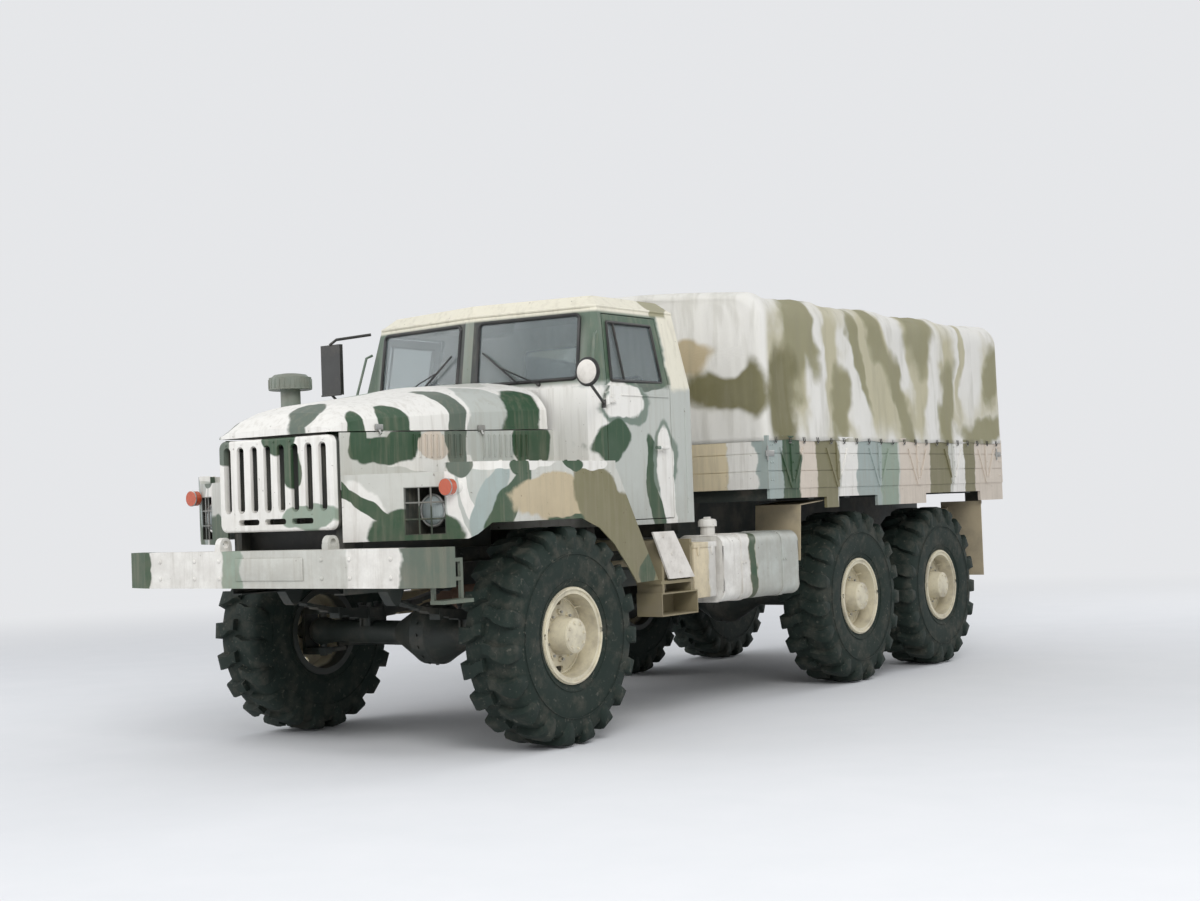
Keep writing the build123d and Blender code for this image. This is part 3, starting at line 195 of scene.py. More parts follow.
def sideSpread(x, y, z):  # stations along the truck against height
    return y + (1.0 - x.over(0.0, 0.02)) * rightShift, z


def wingSpread(x, y, z):  # runs on round the wing's front corner
    return y - (1.19 - abs(x)) * 0.8 + (1.0 - x.over(0.0, 0.02)) * 0.29, z


def boardSpread(x, y, z):  # runs on round the corner over the front board
    ahead = 1.0 - y.over(-0.275, 0.01)
    return y - (bedX - abs(x)) * ahead + (1.0 - x.over(0.0, 0.02)) * rightShift, z


def frontSpread(x, y, z):
    return x, z


def topSpread(x, y, z):
    return x, y


camo = {
    "nose": ("pale", sideSpread, (
        ("white", -2.80, 1.66, 0.60, 0.06, 0), ("grey", -2.48, 1.80, 0.17, 0.26, 6),
        ("dull", -2.73, 1.80, 0.24, 0.07, 87), ("green", -3.45, 1.80, 0.12, 0.07, 85),
        ("green", -3.25, 1.72, 0.22, 0.10, 0), ("green", -3.12, 1.79, 0.12, 0.09, 4),
        ("green", -2.15, 1.78, 0.20, 0.16, 80), ("pink", -2.92, 1.74, 0.12, 0.07, 0))),
    "hood": ("white", topSpread, (
        ("dull", 0.16, -3.52, 0.12, 0.12, 0), ("dull", -0.44, -3.50, 0.09, 0.12, 0),
        ("green", 0.49, -3.45, 0.09, 0.075, 0), ("green", 0.52, -3.17, 0.09, 0.10, 0),
        ("dull", 0.62, -2.72, 0.36, 0.075, 8), ("grey", 0.66, -2.48, 0.30, 0.16, 0),
        ("green", 0.74, -2.22, 0.20, 0.17, 0), ("sage", -0.30, -2.80, 0.26, 0.36, 20),
        ("green", -0.55, -2.35, 0.18, 0.30, 0), ("pale", 0.05, -2.25, 0.30, 0.18, 0))),
    "wing": ("pale", wingSpread, (
        ("grey", -3.31, 1.42, 0.17, 0.30, 0),
        ("white", -3.40, 1.40, 0.045, 0.28, 20), ("white", -3.27, 1.36, 0.035, 0.26, 25),
        ("bluegrey", -3.16, 1.40, 0.26, 0.075, 58), ("green", -3.03, 1.36, 0.33, 0.085, 50),
        ("tan", -2.55, 1.42, 0.44, 0.135, -1), ("green", -2.42, 1.29, 0.25, 0.05, -1),
        ("olive", -1.98, 1.21, 0.62, 0.20, -45), ("green", -1.70, 0.96, 0.12, 0.10, 70),
        ("white", -3.02, 1.615, 0.42, 0.030, 0), ("white", -2.25, 1.615, 0.16, 0.030, 0),
        ("dull", -3.39, 1.60, 0.10, 0.05, 0), ("green", -2.92, 1.60, 0.09, 0.06, 1),
        ("green", -2.44, 1.61, 0.10, 0.035, 0), ("white", -4.06, 1.32, 0.23, 0.20, 80),
        ("white", -4.12, 1.14, 0.34, 0.12, -1), ("green", -4.17, 1.52, 0.11, 0.045, -38),
        ("green", -3.98, 1.41, 0.20, 0.045, -30), ("green", -3.66, 1.26, 0.33, 0.145, -1))),
    "board": ("pale", boardSpread, (
        ("cream", -1.60, -0.61), ("white", -0.61, -0.39), ("bluegrey", -0.39, -0.09),
        ("green", -0.10, 0.17), ("pink", 0.15, 0.43), ("olive", 0.38, 0.69),
        ("white", 0.72, 1.00), ("bluegrey", 1.00, 1.37), ("sage", 1.37, 1.66),
        ("pink", 1.69, 2.24), ("olive", 2.24, 2.60), ("white", 2.66, 2.90),
        ("olive", 2.88, 3.11), ("pink", 3.11, 3.68))),
    "tank": ("cream", sideSpread, (
        ("cream", -1.60, -0.97), ("white", -0.97, -0.52), ("green", -0.52, -0.43),
        ("grey", -0.43, 0.20))),
    "bumper": ("pale", frontSpread, (
        ("green", -1.30, -1.01), ("white", -1.01, -0.38), ("sage", -0.38, -0.23),
        ("pale", -0.23, 0.59), ("white", 0.59, 0.97), ("dull", 0.97, 1.30))),
    "gate": ("pale", frontSpread, (
        ("olive", -0.85, 1.62, 0.25, 0.30, 20), ("green", -0.30, 1.55, 0.18, 0.30, 0),
        ("white", 0.15, 1.62, 0.22, 0.35, 0), ("tan", 0.60, 1.60, 0.22, 0.30, 10),
        ("bluegrey", 1.02, 1.60, 0.16, 0.30, 0))),
    "grille": ("white", frontSpread, (
        ("green", 0.03, 1.84, 0.12, 0.13, 0), ("green", 0.14, 1.64, 0.10, 0.12, 40),
        ("sage", 0.22, 1.36, 0.20, 0.08, 0), ("dull", -0.42, 1.80, 0.08, 0.12, 0))),
}


def begin(name):
    graph = Graph(name)
    where = graph.place()
    return graph, where, graph.axes(where)


# painted shade over the whole lamp recess, its bars too, deepest past the wing's front face
def lampRecessShade(x, y, z):
    depth = y - noseFront - (abs(x) - 0.46) * 0.5
    return ((0.104 - abs(abs(x) - 0.877)).over(0.0, 0.002)
            * (0.130 - abs(z - 1.376)).over(0.0, 0.002) * (0.72 + depth.over(0.012, 0.004)))


# nodes that get painted shade in their hollows: the lamp recess, and behind the grille's face
hollows = {"wing": lampRecessShade, "grille": lambda x, y, z: y.over(-3.585, 0.004)}


def camouflage(key):
    base, spread, rows = camo[key]
    graph, where, (x, y, z) = begin(key + "Paint")
    colour = patched(graph, where, base, rows, *spread(x, y, z))
    if key in hollows:
        # near-black painted shade in the node's hollows
        colour = graph.blend(hollows[key](x, y, z), colour, paint["hollow"])
    return weathered(graph, where, colour)


looks = {key: camouflage(key) for key in camo}

cabRows = (
    ("dull", -1.24, 2.16, 0.24, 0.07, 3), ("white", -2.05, 1.93, 0.24, 0.20, 10),
    ("white", -2.00, 1.66, 0.14, 0.20, 3), ("rim", -1.66, 2.00, 0.27, 0.155, 3),
    ("white", -1.68, 2.01, 0.23, 0.12, 3), ("green", -1.80, 1.76, 0.17, 0.135, 5),
    ("green", -1.385, 1.56, 0.27, 0.075, -86), ("green", -1.34, 1.31, 0.14, 0.075, -87),
    ("rim", -1.24, 1.64, 0.155, 0.23, 0), ("white", -1.235, 1.64, 0.11, 0.20, 0),
    ("white", -1.20, 1.40, 0.24, 0.075, -84), ("white", -1.50, 1.02, 0.14, 0.20, 20))
roofRows = (
    ("olive", 0.10, -1.60, 0.30, 0.12, 10), ("khaki", -0.55, -1.20, 0.30, 0.30, 0),
    ("sage", 0.60, -1.10, 0.20, 0.25, 0), ("khaki", 0.85, -1.05, 0.10, 0.14, 0))


def cabLook(name, frames):  # doors and cab sides, dark window frames, cream roof
    graph, where, (x, y, z) = begin(name)
    colour = patched(graph, where, "grey", cabRows, *sideSpread(x, y, z))
    ragged = (graph.noise(where, 6.0) - 0.5) * 0.12
    pillar = (z + ragged).over(2.12, 0.02) * (1.0 - (y + ragged).over(-1.13, 0.02))
    colour = graph.blend(pillar * frames, colour, paint["frame"])
    rear = (z + ragged).over(2.10, 0.03) * (y + ragged).over(-1.13, 0.02)
    colour = graph.blend(rear, colour, paint["ivory"])
    ahead = (1.0 - y.over(-1.80, 0.02)) * (0.86 - abs(x)).over(0.0, 0.03)
    cowl = graph.blend(z.over(2.125, 0.02), paint["white"], paint["post"])
    # dark rubber on both sides of the thin middle post
    rubber = (abs(x) - 0.036).over(0.0, 0.003) * (0.12 - abs(x)).over(0.0, 0.01)
    cowl = graph.blend(rubber * z.over(2.135, 0.004), cowl, paint["seal"])
    colour = graph.blend(ahead * (1.0 - z.over(2.58, 0.02)), colour, cowl)
    roof = patched(graph, where, "ivory", roofRows, x, y)
    colour = graph.blend(z.over(2.575, 0.012), colour, roof)
    return weathered(graph, where, colour, 0.3)


looks["cab"] = cabLook("cabPaint", 0.9)
looks["door"] = cabLook("doorPaint", 1.0)
print("camouflage paints made")


def plainLook(name, colour, rough=0.55, metal=0.0, dirt=0.4, inner=0.0):
    graph = Graph(name)
    where = graph.place()
    cloud = graph.noise(where, 5.0, 5.0, 0.65)
    fine = graph.noise(where, 70.0, 3.0, 0.6)
    shade = graph.blend((cloud - 0.35) * 0.8, colour, tuple(c * 0.62 for c in colour))
    shade = graph.blend(cloud.over(0.56, 0.12) * dirt, shade, (0.27, 0.23, 0.18))
    shade = graph.blend(fine.over(0.70, 0.03) * (dirt * 0.8), shade, (0.13, 0.07, 0.04))
    if inner:  # nearer the truck's middle than this the wheels get near-black painted shade
        paintedInnerShade = (inner - abs(graph.axes(where)[0]) + (cloud - 0.5) * 0.06).over(0.0, 0.03)
        shade = graph.blend(paintedInnerShade, shade, (0.030, 0.034, 0.028))
    return graph.finish(Base_Color=shade, Roughness=rough + (cloud - 0.5) * 0.3,
                        Metallic=metal, Normal=graph.bump(fine + cloud * 2.0, 0.25, 0.002))


plainFinishes = {
    # colour, roughness, metal, dirt
    "chassis": ((0.028, 0.034, 0.030), 0.6, 0.0, 0.25),
    # axle: darker than the chassis, as painted shade for the axles in the shadow under the truck
    "axle": ((0.022, 0.029, 0.024), 0.55, 0.0, 0.2),
    "engine": ((0.12, 0.13, 0.12), 0.5, 0.0, 0.4),
    "rust": ((0.16, 0.09, 0.055), 0.8, 0.0, 0.3),
    "rim": ((0.70, 0.64, 0.48), 0.5, 0.0, 0.45),
    "step": ((0.26, 0.22, 0.13), 0.7, 0.0, 0.35),
    "guard": ((0.50, 0.42, 0.28), 0.7, 0.0, 0.35),
    "dark": ((0.02, 0.021, 0.02), 0.5, 0.0, 0.12),
    "dash": ((0.16, 0.19, 0.16), 0.5, 0.0, 0.1),
    "steel": ((0.42, 0.42, 0.40), 0.38, 0.9, 0.25),
    "sill": ((0.78, 0.74, 0.68), 0.6, 0.0, 0.3),
    "intake": ((0.20, 0.23, 0.19), 0.5, 0.0, 0.3),
    "wood": ((0.30, 0.22, 0.13), 0.8, 0.0, 0.3),
    "hoop": ((0.33, 0.30, 0.22), 0.6, 0.0, 0.3),
}
for key, (colour, rough, metal, dirt) in plainFinishes.items():
    looks[key] = plainLook(key + "Finish", colour, rough, metal, dirt)
# the rims' inner parts take painted shade
looks["wheel"] = plainLook("wheelFinish", *plainFinishes["rim"], inner=0.93)


def rubberLook():
    graph = Graph("tyreRubber")
    where = graph.place()
    cloud = graph.noise(where, 9.0, 5.0, 0.65)
    fine = graph.noise(where, 120.0, 3.0, 0.6)
    shade = graph.blend(cloud.over(0.58, 0.14) * 0.40, (0.011, 0.021, 0.016),
                        (0.105, 0.095, 0.075))
    scuff = graph.noise(where, 34.0, 3.0, 0.6).over(0.66, 0.05)
    shade = graph.blend(scuff * 0.35, shade, (0.17, 0.16, 0.13))
    return graph.finish(Base_Color=shade, Roughness=0.78 + (cloud - 0.5) * 0.2,
                        Specular_IOR_Level=0.35, Normal=graph.bump(fine, 0.3, 0.0015))


def glassLook():
    graph = Graph("windowGlass")
    film = graph.noise(graph.place(), 3.0, 4.0, 0.6)
    clear = graph.make("ShaderNodeBsdfPrincipled", {}, {
        "Base Color": (0.80, 0.86, 0.86), "Roughness": 0.02,
        "Transmission Weight": 1.0, "IOR": 1.02})
    shine = graph.make("ShaderNodeBsdfPrincipled", {}, {
        "Base Color": (0.30, 0.34, 0.35), "Roughness": 0.07 + film * 0.06,
        "Specular IOR Level": 0.9})
    mixed = graph.make("ShaderNodeMixShader", {}, [0.24 + film * 0.16, clear, shine])
    graph.make("ShaderNodeOutputMaterial", {}, [mixed])
    return graph.material


def lensLook(name, front, rear=None):  # ribbed lamp glass; rear lamps may differ
    graph, where, (x, y, _) = begin(name)
    colour = front if rear is None else graph.blend(y.over(0.0, 0.1), front, rear)
    ribs = (x * 420.0).math("SINE")
    haze = graph.noise(where, 30.0, 3.0)
    return graph.finish(Base_Color=colour, Roughness=0.12 + haze * 0.2, Coat_Weight=0.6,
                        Normal=graph.bump(ribs, 0.4, 0.0015))


def mirrorLook():
    graph = Graph("mirrorGlass")
    film = graph.noise(graph.place(), 8.0, 3.0)
    return graph.finish(Base_Color=(0.82, 0.85, 0.86), Metallic=1.0,
                        Roughness=0.05 + film * 0.08)


def seatLook():
    graph, where, (x, y, z) = begin("seatCloth")
    weave = (x * 900.0).math("SINE") * ((y + z) * 900.0).math("SINE")
    cloud = graph.noise(where, 12.0, 4.0, 0.6)
    shade = graph.blend((cloud - 0.4) * 0.8, (0.085, 0.07, 0.05), (0.045, 0.035, 0.025))
    return graph.finish(Base_Color=shade, Roughness=0.62 + (cloud - 0.5) * 0.25,
                        Normal=graph.bump(weave * 0.5 + cloud, 0.35, 0.0012))


# cover: khaki and olive stripes over a dirty white woven cloth
tarpSideRows = (
    ("straw", 1.60, 2.30, 2.40, 0.50, 0), ("white", 0.45, 2.20, 0.60, 0.14, 86),
    ("white", 1.05, 2.15, 0.55, 0.16, -72), ("white", 1.75, 2.55, 0.50, 0.13, -62),
    ("white", 2.35, 2.15, 0.60, 0.16, 80), ("white", 3.05, 2.50, 0.55, 0.30, 85),
    ("khaki", 0.18, 2.50, 0.50, 0.20, 80), ("olive", -0.08, 2.04, 0.38, 0.24, 80),
    ("khaki", 0.36, 2.65, 0.40, 0.10, -78), ("khaki", 0.80, 2.02, 0.30, 0.15, 82),
    ("khaki", 1.08, 2.42, 0.42, 0.07, -64), ("khaki", 1.40, 2.58, 0.46, 0.13, -62),
    ("khaki", 1.78, 2.06, 0.44, 0.12, -70), ("khaki", 2.14, 2.66, 0.30, 0.24, 90),
    ("khaki", 2.63, 2.06, 0.40, 0.15, 78), ("straw", 2.92, 2.45, 0.45, 0.06, 84),
    ("khaki", 3.52, 2.36, 0.28, 0.14, 75), ("khaki", 3.30, 1.87, 0.50, 0.11, 1),
    # and on over the roof's edge
    ("khaki", 0.45, 3.15, 0.40, 0.16, 70), ("khaki", 1.10, 3.15, 0.40, 0.15, -65),
    ("olive", 2.05, 3.15, 0.36, 0.15, 75), ("khaki", 2.95, 3.20, 0.40, 0.16, -62))
tarpRoofRows = (
    ("khaki", 0.42, 0.62, 0.52, 0.15, -22), ("straw", -0.25, 0.28, 0.50, 0.13, 12),
    ("olive", -0.48, 1.20, 0.46, 0.15, 24), ("khaki", 0.20, 1.62, 0.50, 0.14, -12),
    ("straw", 0.50, 2.30, 0.34, 0.20, 60), ("khaki", -0.42, 2.20, 0.55, 0.14, -18),
    ("olive", 0.12, 2.86, 0.44, 0.13, 26), ("khaki", -0.50, 3.30, 0.40, 0.15, 8))
tarpEndRows = (
    ("tan", 0.60, 2.36, 0.24, 0.13, -6), ("olive", 0.88, 2.13, 0.30, 0.15, -5),
    ("olive", 1.12, 2.12, 0.22, 0.12, 88), ("white", 0.95, 2.31, 0.15, 0.09, -5),
    ("white", 0.80, 1.88, 0.34, 0.13, -3), ("khaki", -0.74, 2.30, 0.42, 0.14, 52),
    ("khaki", -0.45, 2.02, 0.30, 0.10, -12), ("olive", 0.02, 2.10, 0.34, 0.11, -24),
    ("khaki", -1.10, 2.62, 0.15, 0.28, 8))


def tarpLook():
    graph, where, (x, y, z) = begin("tarpCanvas")
    side = sideSpread(x, y, z)[0]
    unfolded = z + (1.16 - abs(x)).math("MAXIMUM", 0.0)
    sides = patched(graph, where, "white", tarpSideRows, side, unfolded, 0.55, 0.36)
    roof = patched(graph, where, "white", tarpRoofRows, x, y, 0.55, 0.36)
    sides = graph.blend((0.72 - abs(x)).over(0.0, 0.16), sides, roof)
    ends = patched(graph, where, "white", tarpEndRows, x, z, 0.45)
    atEnd = 1.0 - y.over(-0.25, 0.03) * (1.0 - y.over(3.61, 0.02))
    colour = graph.blend(atEnd, sides, ends)
    cloud = graph.noise(where, 2.0, 5.0, 0.6)
    colour = graph.blend((cloud - 0.42) * 0.45, colour, (0.55, 0.53, 0.42))
    soak = graph.noise(graph.stretch(where, (5.0, 5.0, 0.8)), 2.0, 4.0).over(0.58, 0.10)
    colour = graph.blend(soak * 0.22, colour, (0.30, 0.28, 0.20))
    weave = (y * 2400.0).math("SINE") * (z * 2400.0).math("SINE")
    creases = graph.noise(graph.stretch(where, (1.0, 2.2, 0.6)), 5.0, 6.0, 0.7)
    return graph.finish(Base_Color=colour, Roughness=0.80 + cloud * 0.12,
                        Specular_IOR_Level=0.25,
                        Normal=graph.bump(weave * 0.15 + creases * 3.0, 0.4, 0.006))


looks["rubber"] = rubberLook()
looks["glass"] = glassLook()
# headlamp glass is dark grey as painted shade from the lamp recess behind it; the rear lamps are
# red
looks["lens"] = lensLook("lampLens", (0.30, 0.34, 0.33), (0.42, 0.03, 0.02))
looks["marker"] = lensLook("markerLens", (0.52, 0.10, 0.045), (0.42, 0.03, 0.02))
looks["mirror"] = mirrorLook()
looks["seat"] = seatLook()
looks["tarp"] = tarpLook()

nodeLooks = {
    "frame_rails": "chassis", "front_bumper": "bumper", "front_axle": "axle",
    "rear_axles": "axle", "knuckle_left": "axle", "knuckle_right": "axle",
    "tie_rod": "axle", "springs": "chassis", "powertrain": "engine",
    "grille_panel": "grille", "nose_sides": "nose", "hood": "hood", "wings": "wing",
    # headlamps take the dark chassis finish as painted shade in the lamp recess
    "headlamps": "chassis", "marker_lamps": "marker", "cab_shell": "cab",
    "cab_glass": "glass", "door_left": "door", "door_right": "door",
    "door_glass_left": "glass", "door_glass_right": "glass", "dash_panel": "dash",
    "seats": "seat", "steering_wheel": "dark", "steps": "step", "fuel_tank": "tank",
    "side_boxes": "sill", "exhaust": "rust", "bed_floor": "chassis",
    "bed_sides": "board", "tailgate": "gate", "bows": "hoop", "tarp": "tarp",
    "mud_guards": "guard", "tow_hitch": "chassis", "mirrors": "dark",
    "air_intake": "intake", "spare_rim": "rim",
}
for name, node in nodes.items():
    key = nodeLooks.get(name, "rubber" if "tyre" in name else "wheel")
    node.data.materials.clear()
    node.data.materials.append(looks[key])
print("finishes on the frame's pieces")


# mesh helpers: forms are gathered in one bmesh for each piece
def addBox(bm, lo, hi, bevel=0.0, turn=None):
    made = bmesh.ops.create_cube(bm, size=1.0)["verts"]
    mid = (Vector(lo) + Vector(hi)) / 2
    size = [abs(b - a) for a, b in zip(lo, hi)]
    spin = turn.to_4x4() if turn else Matrix.Identity(4)
    bmesh.ops.transform(bm, verts=made,
                        matrix=Matrix.Translation(mid) @ spin @ Matrix.Diagonal((*size, 1.0)))
    if bevel:
        edges = list({e for v in made for e in v.link_edges})
        bmesh.ops.bevel(bm, geom=edges, offset=bevel, segments=2, affect="EDGES", profile=0.5)


def facing(axis):  # the turn that carries z onto an axis
    return Vector(axis).to_track_quat("Z", "Y").to_matrix()


def ringPoints(centre, axis, radius, steps, along=0.0):
    spin, turn = facing(axis), 2 * math.pi / steps
    return [Vector(centre) + spin @ Vector((radius * math.cos(turn * k),
                                            radius * math.sin(turn * k), along))
            for k in range(steps)]


def bridge(bm, first, second):  # faces between two closed rows of points
    count = len(first)
    for k in range(count):
        bm.faces.new((first[k], first[(k + 1) % count], second[(k + 1) % count], second[k]))


def addRod(bm, start, end, radius, sides=16):
    start, end = Vector(start), Vector(end)
    run = end - start
    bmesh.ops.create_cone(bm, cap_ends=True, segments=sides, radius1=radius, radius2=radius,
                          depth=run.length,
                          matrix=Matrix.Translation((start + end) / 2) @ facing(run).to_4x4())


def addTube(bm, points, radius, sides=8, closed=False):  # a bar bent through points
    points = [Vector(p) for p in points]
    count = len(points)
    rings = []
    for n, point in enumerate(points):
        before = points[n - 1] if n or closed else point
        after = points[(n + 1) % count] if n + 1 < count or closed else point
        rings.append([bm.verts.new(p) for p in ringPoints(point, after - before, radius, sides)])
    for n in range(count if closed else count - 1):
        bridge(bm, rings[n], rings[(n + 1) % count])
    if not closed:
        bm.faces.new(rings[0])
        bm.faces.new(rings[-1])


def addRing(bm, centre, axis, radius, thick, steps=48, sides=8):
    addTube(bm, ringPoints(centre, axis, radius, steps), thick, sides, closed=True)


# profile points are (distance along the axis, radius)
def addTurned(bm, centre, axis, profile, steps=48):
    rings = [[bm.verts.new(p) for p in
              ringPoints(centre, axis, radius, 1 if radius < 1e-6 else steps, along)]
             for along, radius in profile]
    for first, second in zip(rings, rings[1:]):
        for k in range(steps):
            corners = [first[k % len(first)], first[(k + 1) % steps % len(first)],
                       second[(k + 1) % steps % len(second)], second[k % len(second)]]
            corners = list(dict.fromkeys(corners))
            if len(corners) > 2:
                bm.faces.new(corners)


def linked(name, data):  # a new object in the scene
    made = bpy.data.objects.new(name, data)
    bpy.context.scene.collection.objects.link(made)
    return made


def evaluatedMesh(holder):
    return bpy.data.meshes.new_from_object(
        holder.evaluated_get(bpy.context.evaluated_depsgraph_get()))


def finishPiece(bm, name, look, body="truck_body", angle=35.0):
    bmesh.ops.recalc_face_normals(bm, faces=bm.faces)
    mesh = bpy.data.meshes.new(name)
    bm.to_mesh(mesh)
    bm.free()
    mesh.shade_smooth()
    mesh.set_sharp_from_angle(angle=math.radians(angle))
    mesh.materials.clear()
    mesh.materials.append(looks[look])
    piece = linked(name, mesh)
    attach(piece, body)
    return piece


# geometry nodes: copies of a small form round an axis, or along a line
def repeatTree(name, sizes, build):
    tree = bpy.data.node_groups.new(name, "GeometryNodeTree")
    tree.interface.new_socket(name="Form", in_out="INPUT", socket_type="NodeSocketGeometry")
    for label, kind in sizes.items():
        tree.interface.new_socket(name=label, in_out="INPUT", socket_type="NodeSocket" + kind)
    tree.interface.new_socket(name="Finish", in_out="INPUT", socket_type="NodeSocketMaterial")
    tree.interface.new_socket(name="Result", in_out="OUTPUT",
                              socket_type="NodeSocketGeometry")
    source = tree.nodes.new("NodeGroupInput")

    def node(kind, inputs, **settings):
        made = tree.nodes.new(kind)
        for key, value in settings.items():
            setattr(made, key, value)
        for key, value in inputs.items():
            if isinstance(value, bpy.types.NodeSocket):
                tree.links.new(value, made.inputs[key])
            else:
                made.inputs[key].default_value = value
        return made.outputs[0]

    spread = build(node, source.outputs)
    real = node("GeometryNodeRealizeInstances", {0: spread})
    done = node("GeometryNodeSetMaterial", {"Geometry": real,
                                            "Material": source.outputs["Finish"]})
    tree.links.new(done, tree.nodes.new("NodeGroupOutput").inputs[0])
    return tree


def buildRing(node, given):
    points = node("GeometryNodePoints", {"Count": given["Count"],
                                         "Position": given["Centre"]})
    step = node("ShaderNodeMath", {0: 2 * math.pi, 1: given["Count"]}, operation="DIVIDE")
    turn = node("ShaderNodeMath", {0: node("GeometryNodeInputIndex", {}), 1: step},
                operation="MULTIPLY")
    angle = node("ShaderNodeMath", {0: turn, 1: given["Start"]}, operation="ADD")
    spin = node("ShaderNodeVectorMath", {"Vector": given["Axis"], "Scale": angle},
                operation="SCALE")
    return node("GeometryNodeInstanceOnPoints", {
        "Points": points, "Instance": given["Form"], "Rotation": spin})


def buildRow(node, given):
    line = node("GeometryNodeMeshLine", {"Count": given["Count"],
                                         "Start Location": given["First"],
                                         "Offset": given["Step"]})
    return node("GeometryNodeInstanceOnPoints", {
        "Points": line, "Instance": given["Form"]})


ringTree = repeatTree("formsRoundAnAxis", {
    "Count": "Int", "Start": "Float", "Centre": "Vector", "Axis": "Vector"}, buildRing)
rowTree = repeatTree("formsAlongALine", {
    "Count": "Int", "First": "Vector", "Step": "Vector"}, buildRow)


# spreads a form with one of the trees and adds the result to a bmesh
def addRepeated(bm, form, tree, **sizes):
    mesh = bpy.data.meshes.new("repeatForm")
    form.to_mesh(mesh)
    holder = linked("repeatForm", mesh)
    modifier = holder.modifiers.new("repeat", "NODES")
    modifier.node_group = tree
    for item in tree.interface.items_tree:
        if item.in_out == "INPUT" and item.name in sizes:
            modifier[item.identifier] = sizes[item.name]
        elif item.in_out == "INPUT" and item.name == "Finish":
            modifier[item.identifier] = looks["steel"]
    spread = evaluatedMesh(holder)
    bm.from_mesh(spread)
    bpy.data.objects.remove(holder)
    bpy.data.meshes.remove(mesh)
    bpy.data.meshes.remove(spread)


def boltForm(axis, radius, height):  # hexagon head with a washer
    form = bmesh.new()
    out = Vector(axis)
    addRod(form, (0, 0, 0), out * 0.002, radius * 1.35, 12)
    addRod(form, out * 0.002, out * height, radius, 6)
    return form


def rivetForm(axis, radius):
    form = bmesh.new()
    addTurned(form, (0, 0, 0), axis, ((0, radius), (radius * 0.35, radius * 0.85),
                                      (radius * 0.6, radius * 0.45), (radius * 0.68, 0)), 10)
    return form


def formOf(add, *sizes):
    form = bmesh.new()
    add(form, *sizes)
    return form


def addRow(bm, form, count, first, step):
    addRepeated(bm, form, rowTree, Count=count, First=first, Step=step)


def addRound(bm, form, count, centre, axis, start=0.0):
    addRepeated(bm, form, ringTree, Count=count, Start=start, Centre=centre, Axis=axis)


def sided(side, *points):  # points of the left side, or mirrored to the right
    return [(side * x, y, z) for x, y, z in points]


wheelPlaces = {
    "front_left": (1.0, axleY), "front_right": (-1.0, axleY), "mid_left": (1.0, midY),
    "mid_right": (-1.0, midY), "rear_left": (1.0, rearY), "rear_right": (-1.0, rearY),
}

# tyres: a turned carcass with two rows of deep shoulder lugs
tyreSizes = {
    "carcass": ((-0.140, 0.2545), (-0.150, 0.262), (-0.157, 0.284), (-0.170, 0.312),
                (-0.180, 0.360), (-0.1835, 0.430), (-0.181, 0.490), (-0.173, 0.540),
                (-0.160, 0.570), (-0.142, 0.584), (-0.090, 0.590), (0.0, 0.592)),
    "lugCount": 19,
    # along the axle, foot radius, top radius, turn and half width in degrees
    "lug": ((0.004, 0.585, 0.626, 1.6, 2.9), (0.045, 0.585, 0.6285, 2.4, 2.8),
            (0.080, 0.584, 0.6285, 4.4, 3.2), (0.135, 0.580, 0.6280, 5.2, 4.0),
            (0.168, 0.565, 0.620, 5.4, 4.4), (0.1830, 0.545, 0.598, 5.4, 4.2),
            (0.1865, 0.510, 0.556, 5.4, 3.4), (0.1850, 0.480, 0.515, 5.4, 2.2)),
    "sideLift": 0.0030, "undercut": 0.012,
    "beadRings": ((0.1735, 0.318), (0.1872, 0.470)),  # along the axle, radius
}


def lugForm(toOutside, axis):
    form = bmesh.new()
    spin = facing(axis)

    def point(along, radius, angle):
        a = math.radians(angle)
        return form.verts.new(spin @ Vector((radius * math.cos(a), radius * math.sin(a),
                                             along * toOutside)))

    sections = []
    for n, (along, foot, top, turn, half) in enumerate(tyreSizes["lug"]):
        onSide = n > 4
        lift, cut = tyreSizes["sideLift"] * onSide, tyreSizes["undercut"] * onSide
        sections.append((point(along - cut, foot, turn - half - 0.9),
                         point(along + lift, top, turn - half),
                         point(along + lift, top, turn + half),
                         point(along - cut, foot, turn + half + 0.9)))
    for first, second in zip(sections, sections[1:]):
        bridge(form, first, second)
    form.faces.new(sections[0])
    form.faces.new(sections[-1])
    return form


def makeTyre(place, centre, axis, body, node):
    bm = bmesh.new()
    half = list(tyreSizes["carcass"])
    profile = half + [(-along, radius) for along, radius in reversed(half[:-1])]
    addTurned(bm, centre, axis, profile + [profile[0]], 72)
    bmesh.ops.remove_doubles(bm, verts=bm.verts, dist=1e-6)
    for side in (-1, 1):
        for along, radius in tyreSizes["beadRings"]:
            addRing(bm, Vector(centre) + Vector(axis) * (along * side), axis, radius,
                    0.0028, 60, 6)
        step = 2 * math.pi / tyreSizes["lugCount"]
        addRound(bm, lugForm(side, axis), tyreSizes["lugCount"], centre, axis,
                 step / 2 * (side > 0))
    tyre = finishPiece(bm, "treadedTyre_" + place, "rubber", body, 40)
    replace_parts(tyre, node)


for place, (wheelX, wheelY) in wheelPlaces.items():
    makeTyre(place, (wheelX, wheelY, hubZ), (1, 0, 0), "wheel_" + place, "tyre_" + place)
makeTyre("spare", (-0.43, -0.683, 1.8103), (0, 1, 0), "truck_body", "spare_tyre")
print("tyres made")

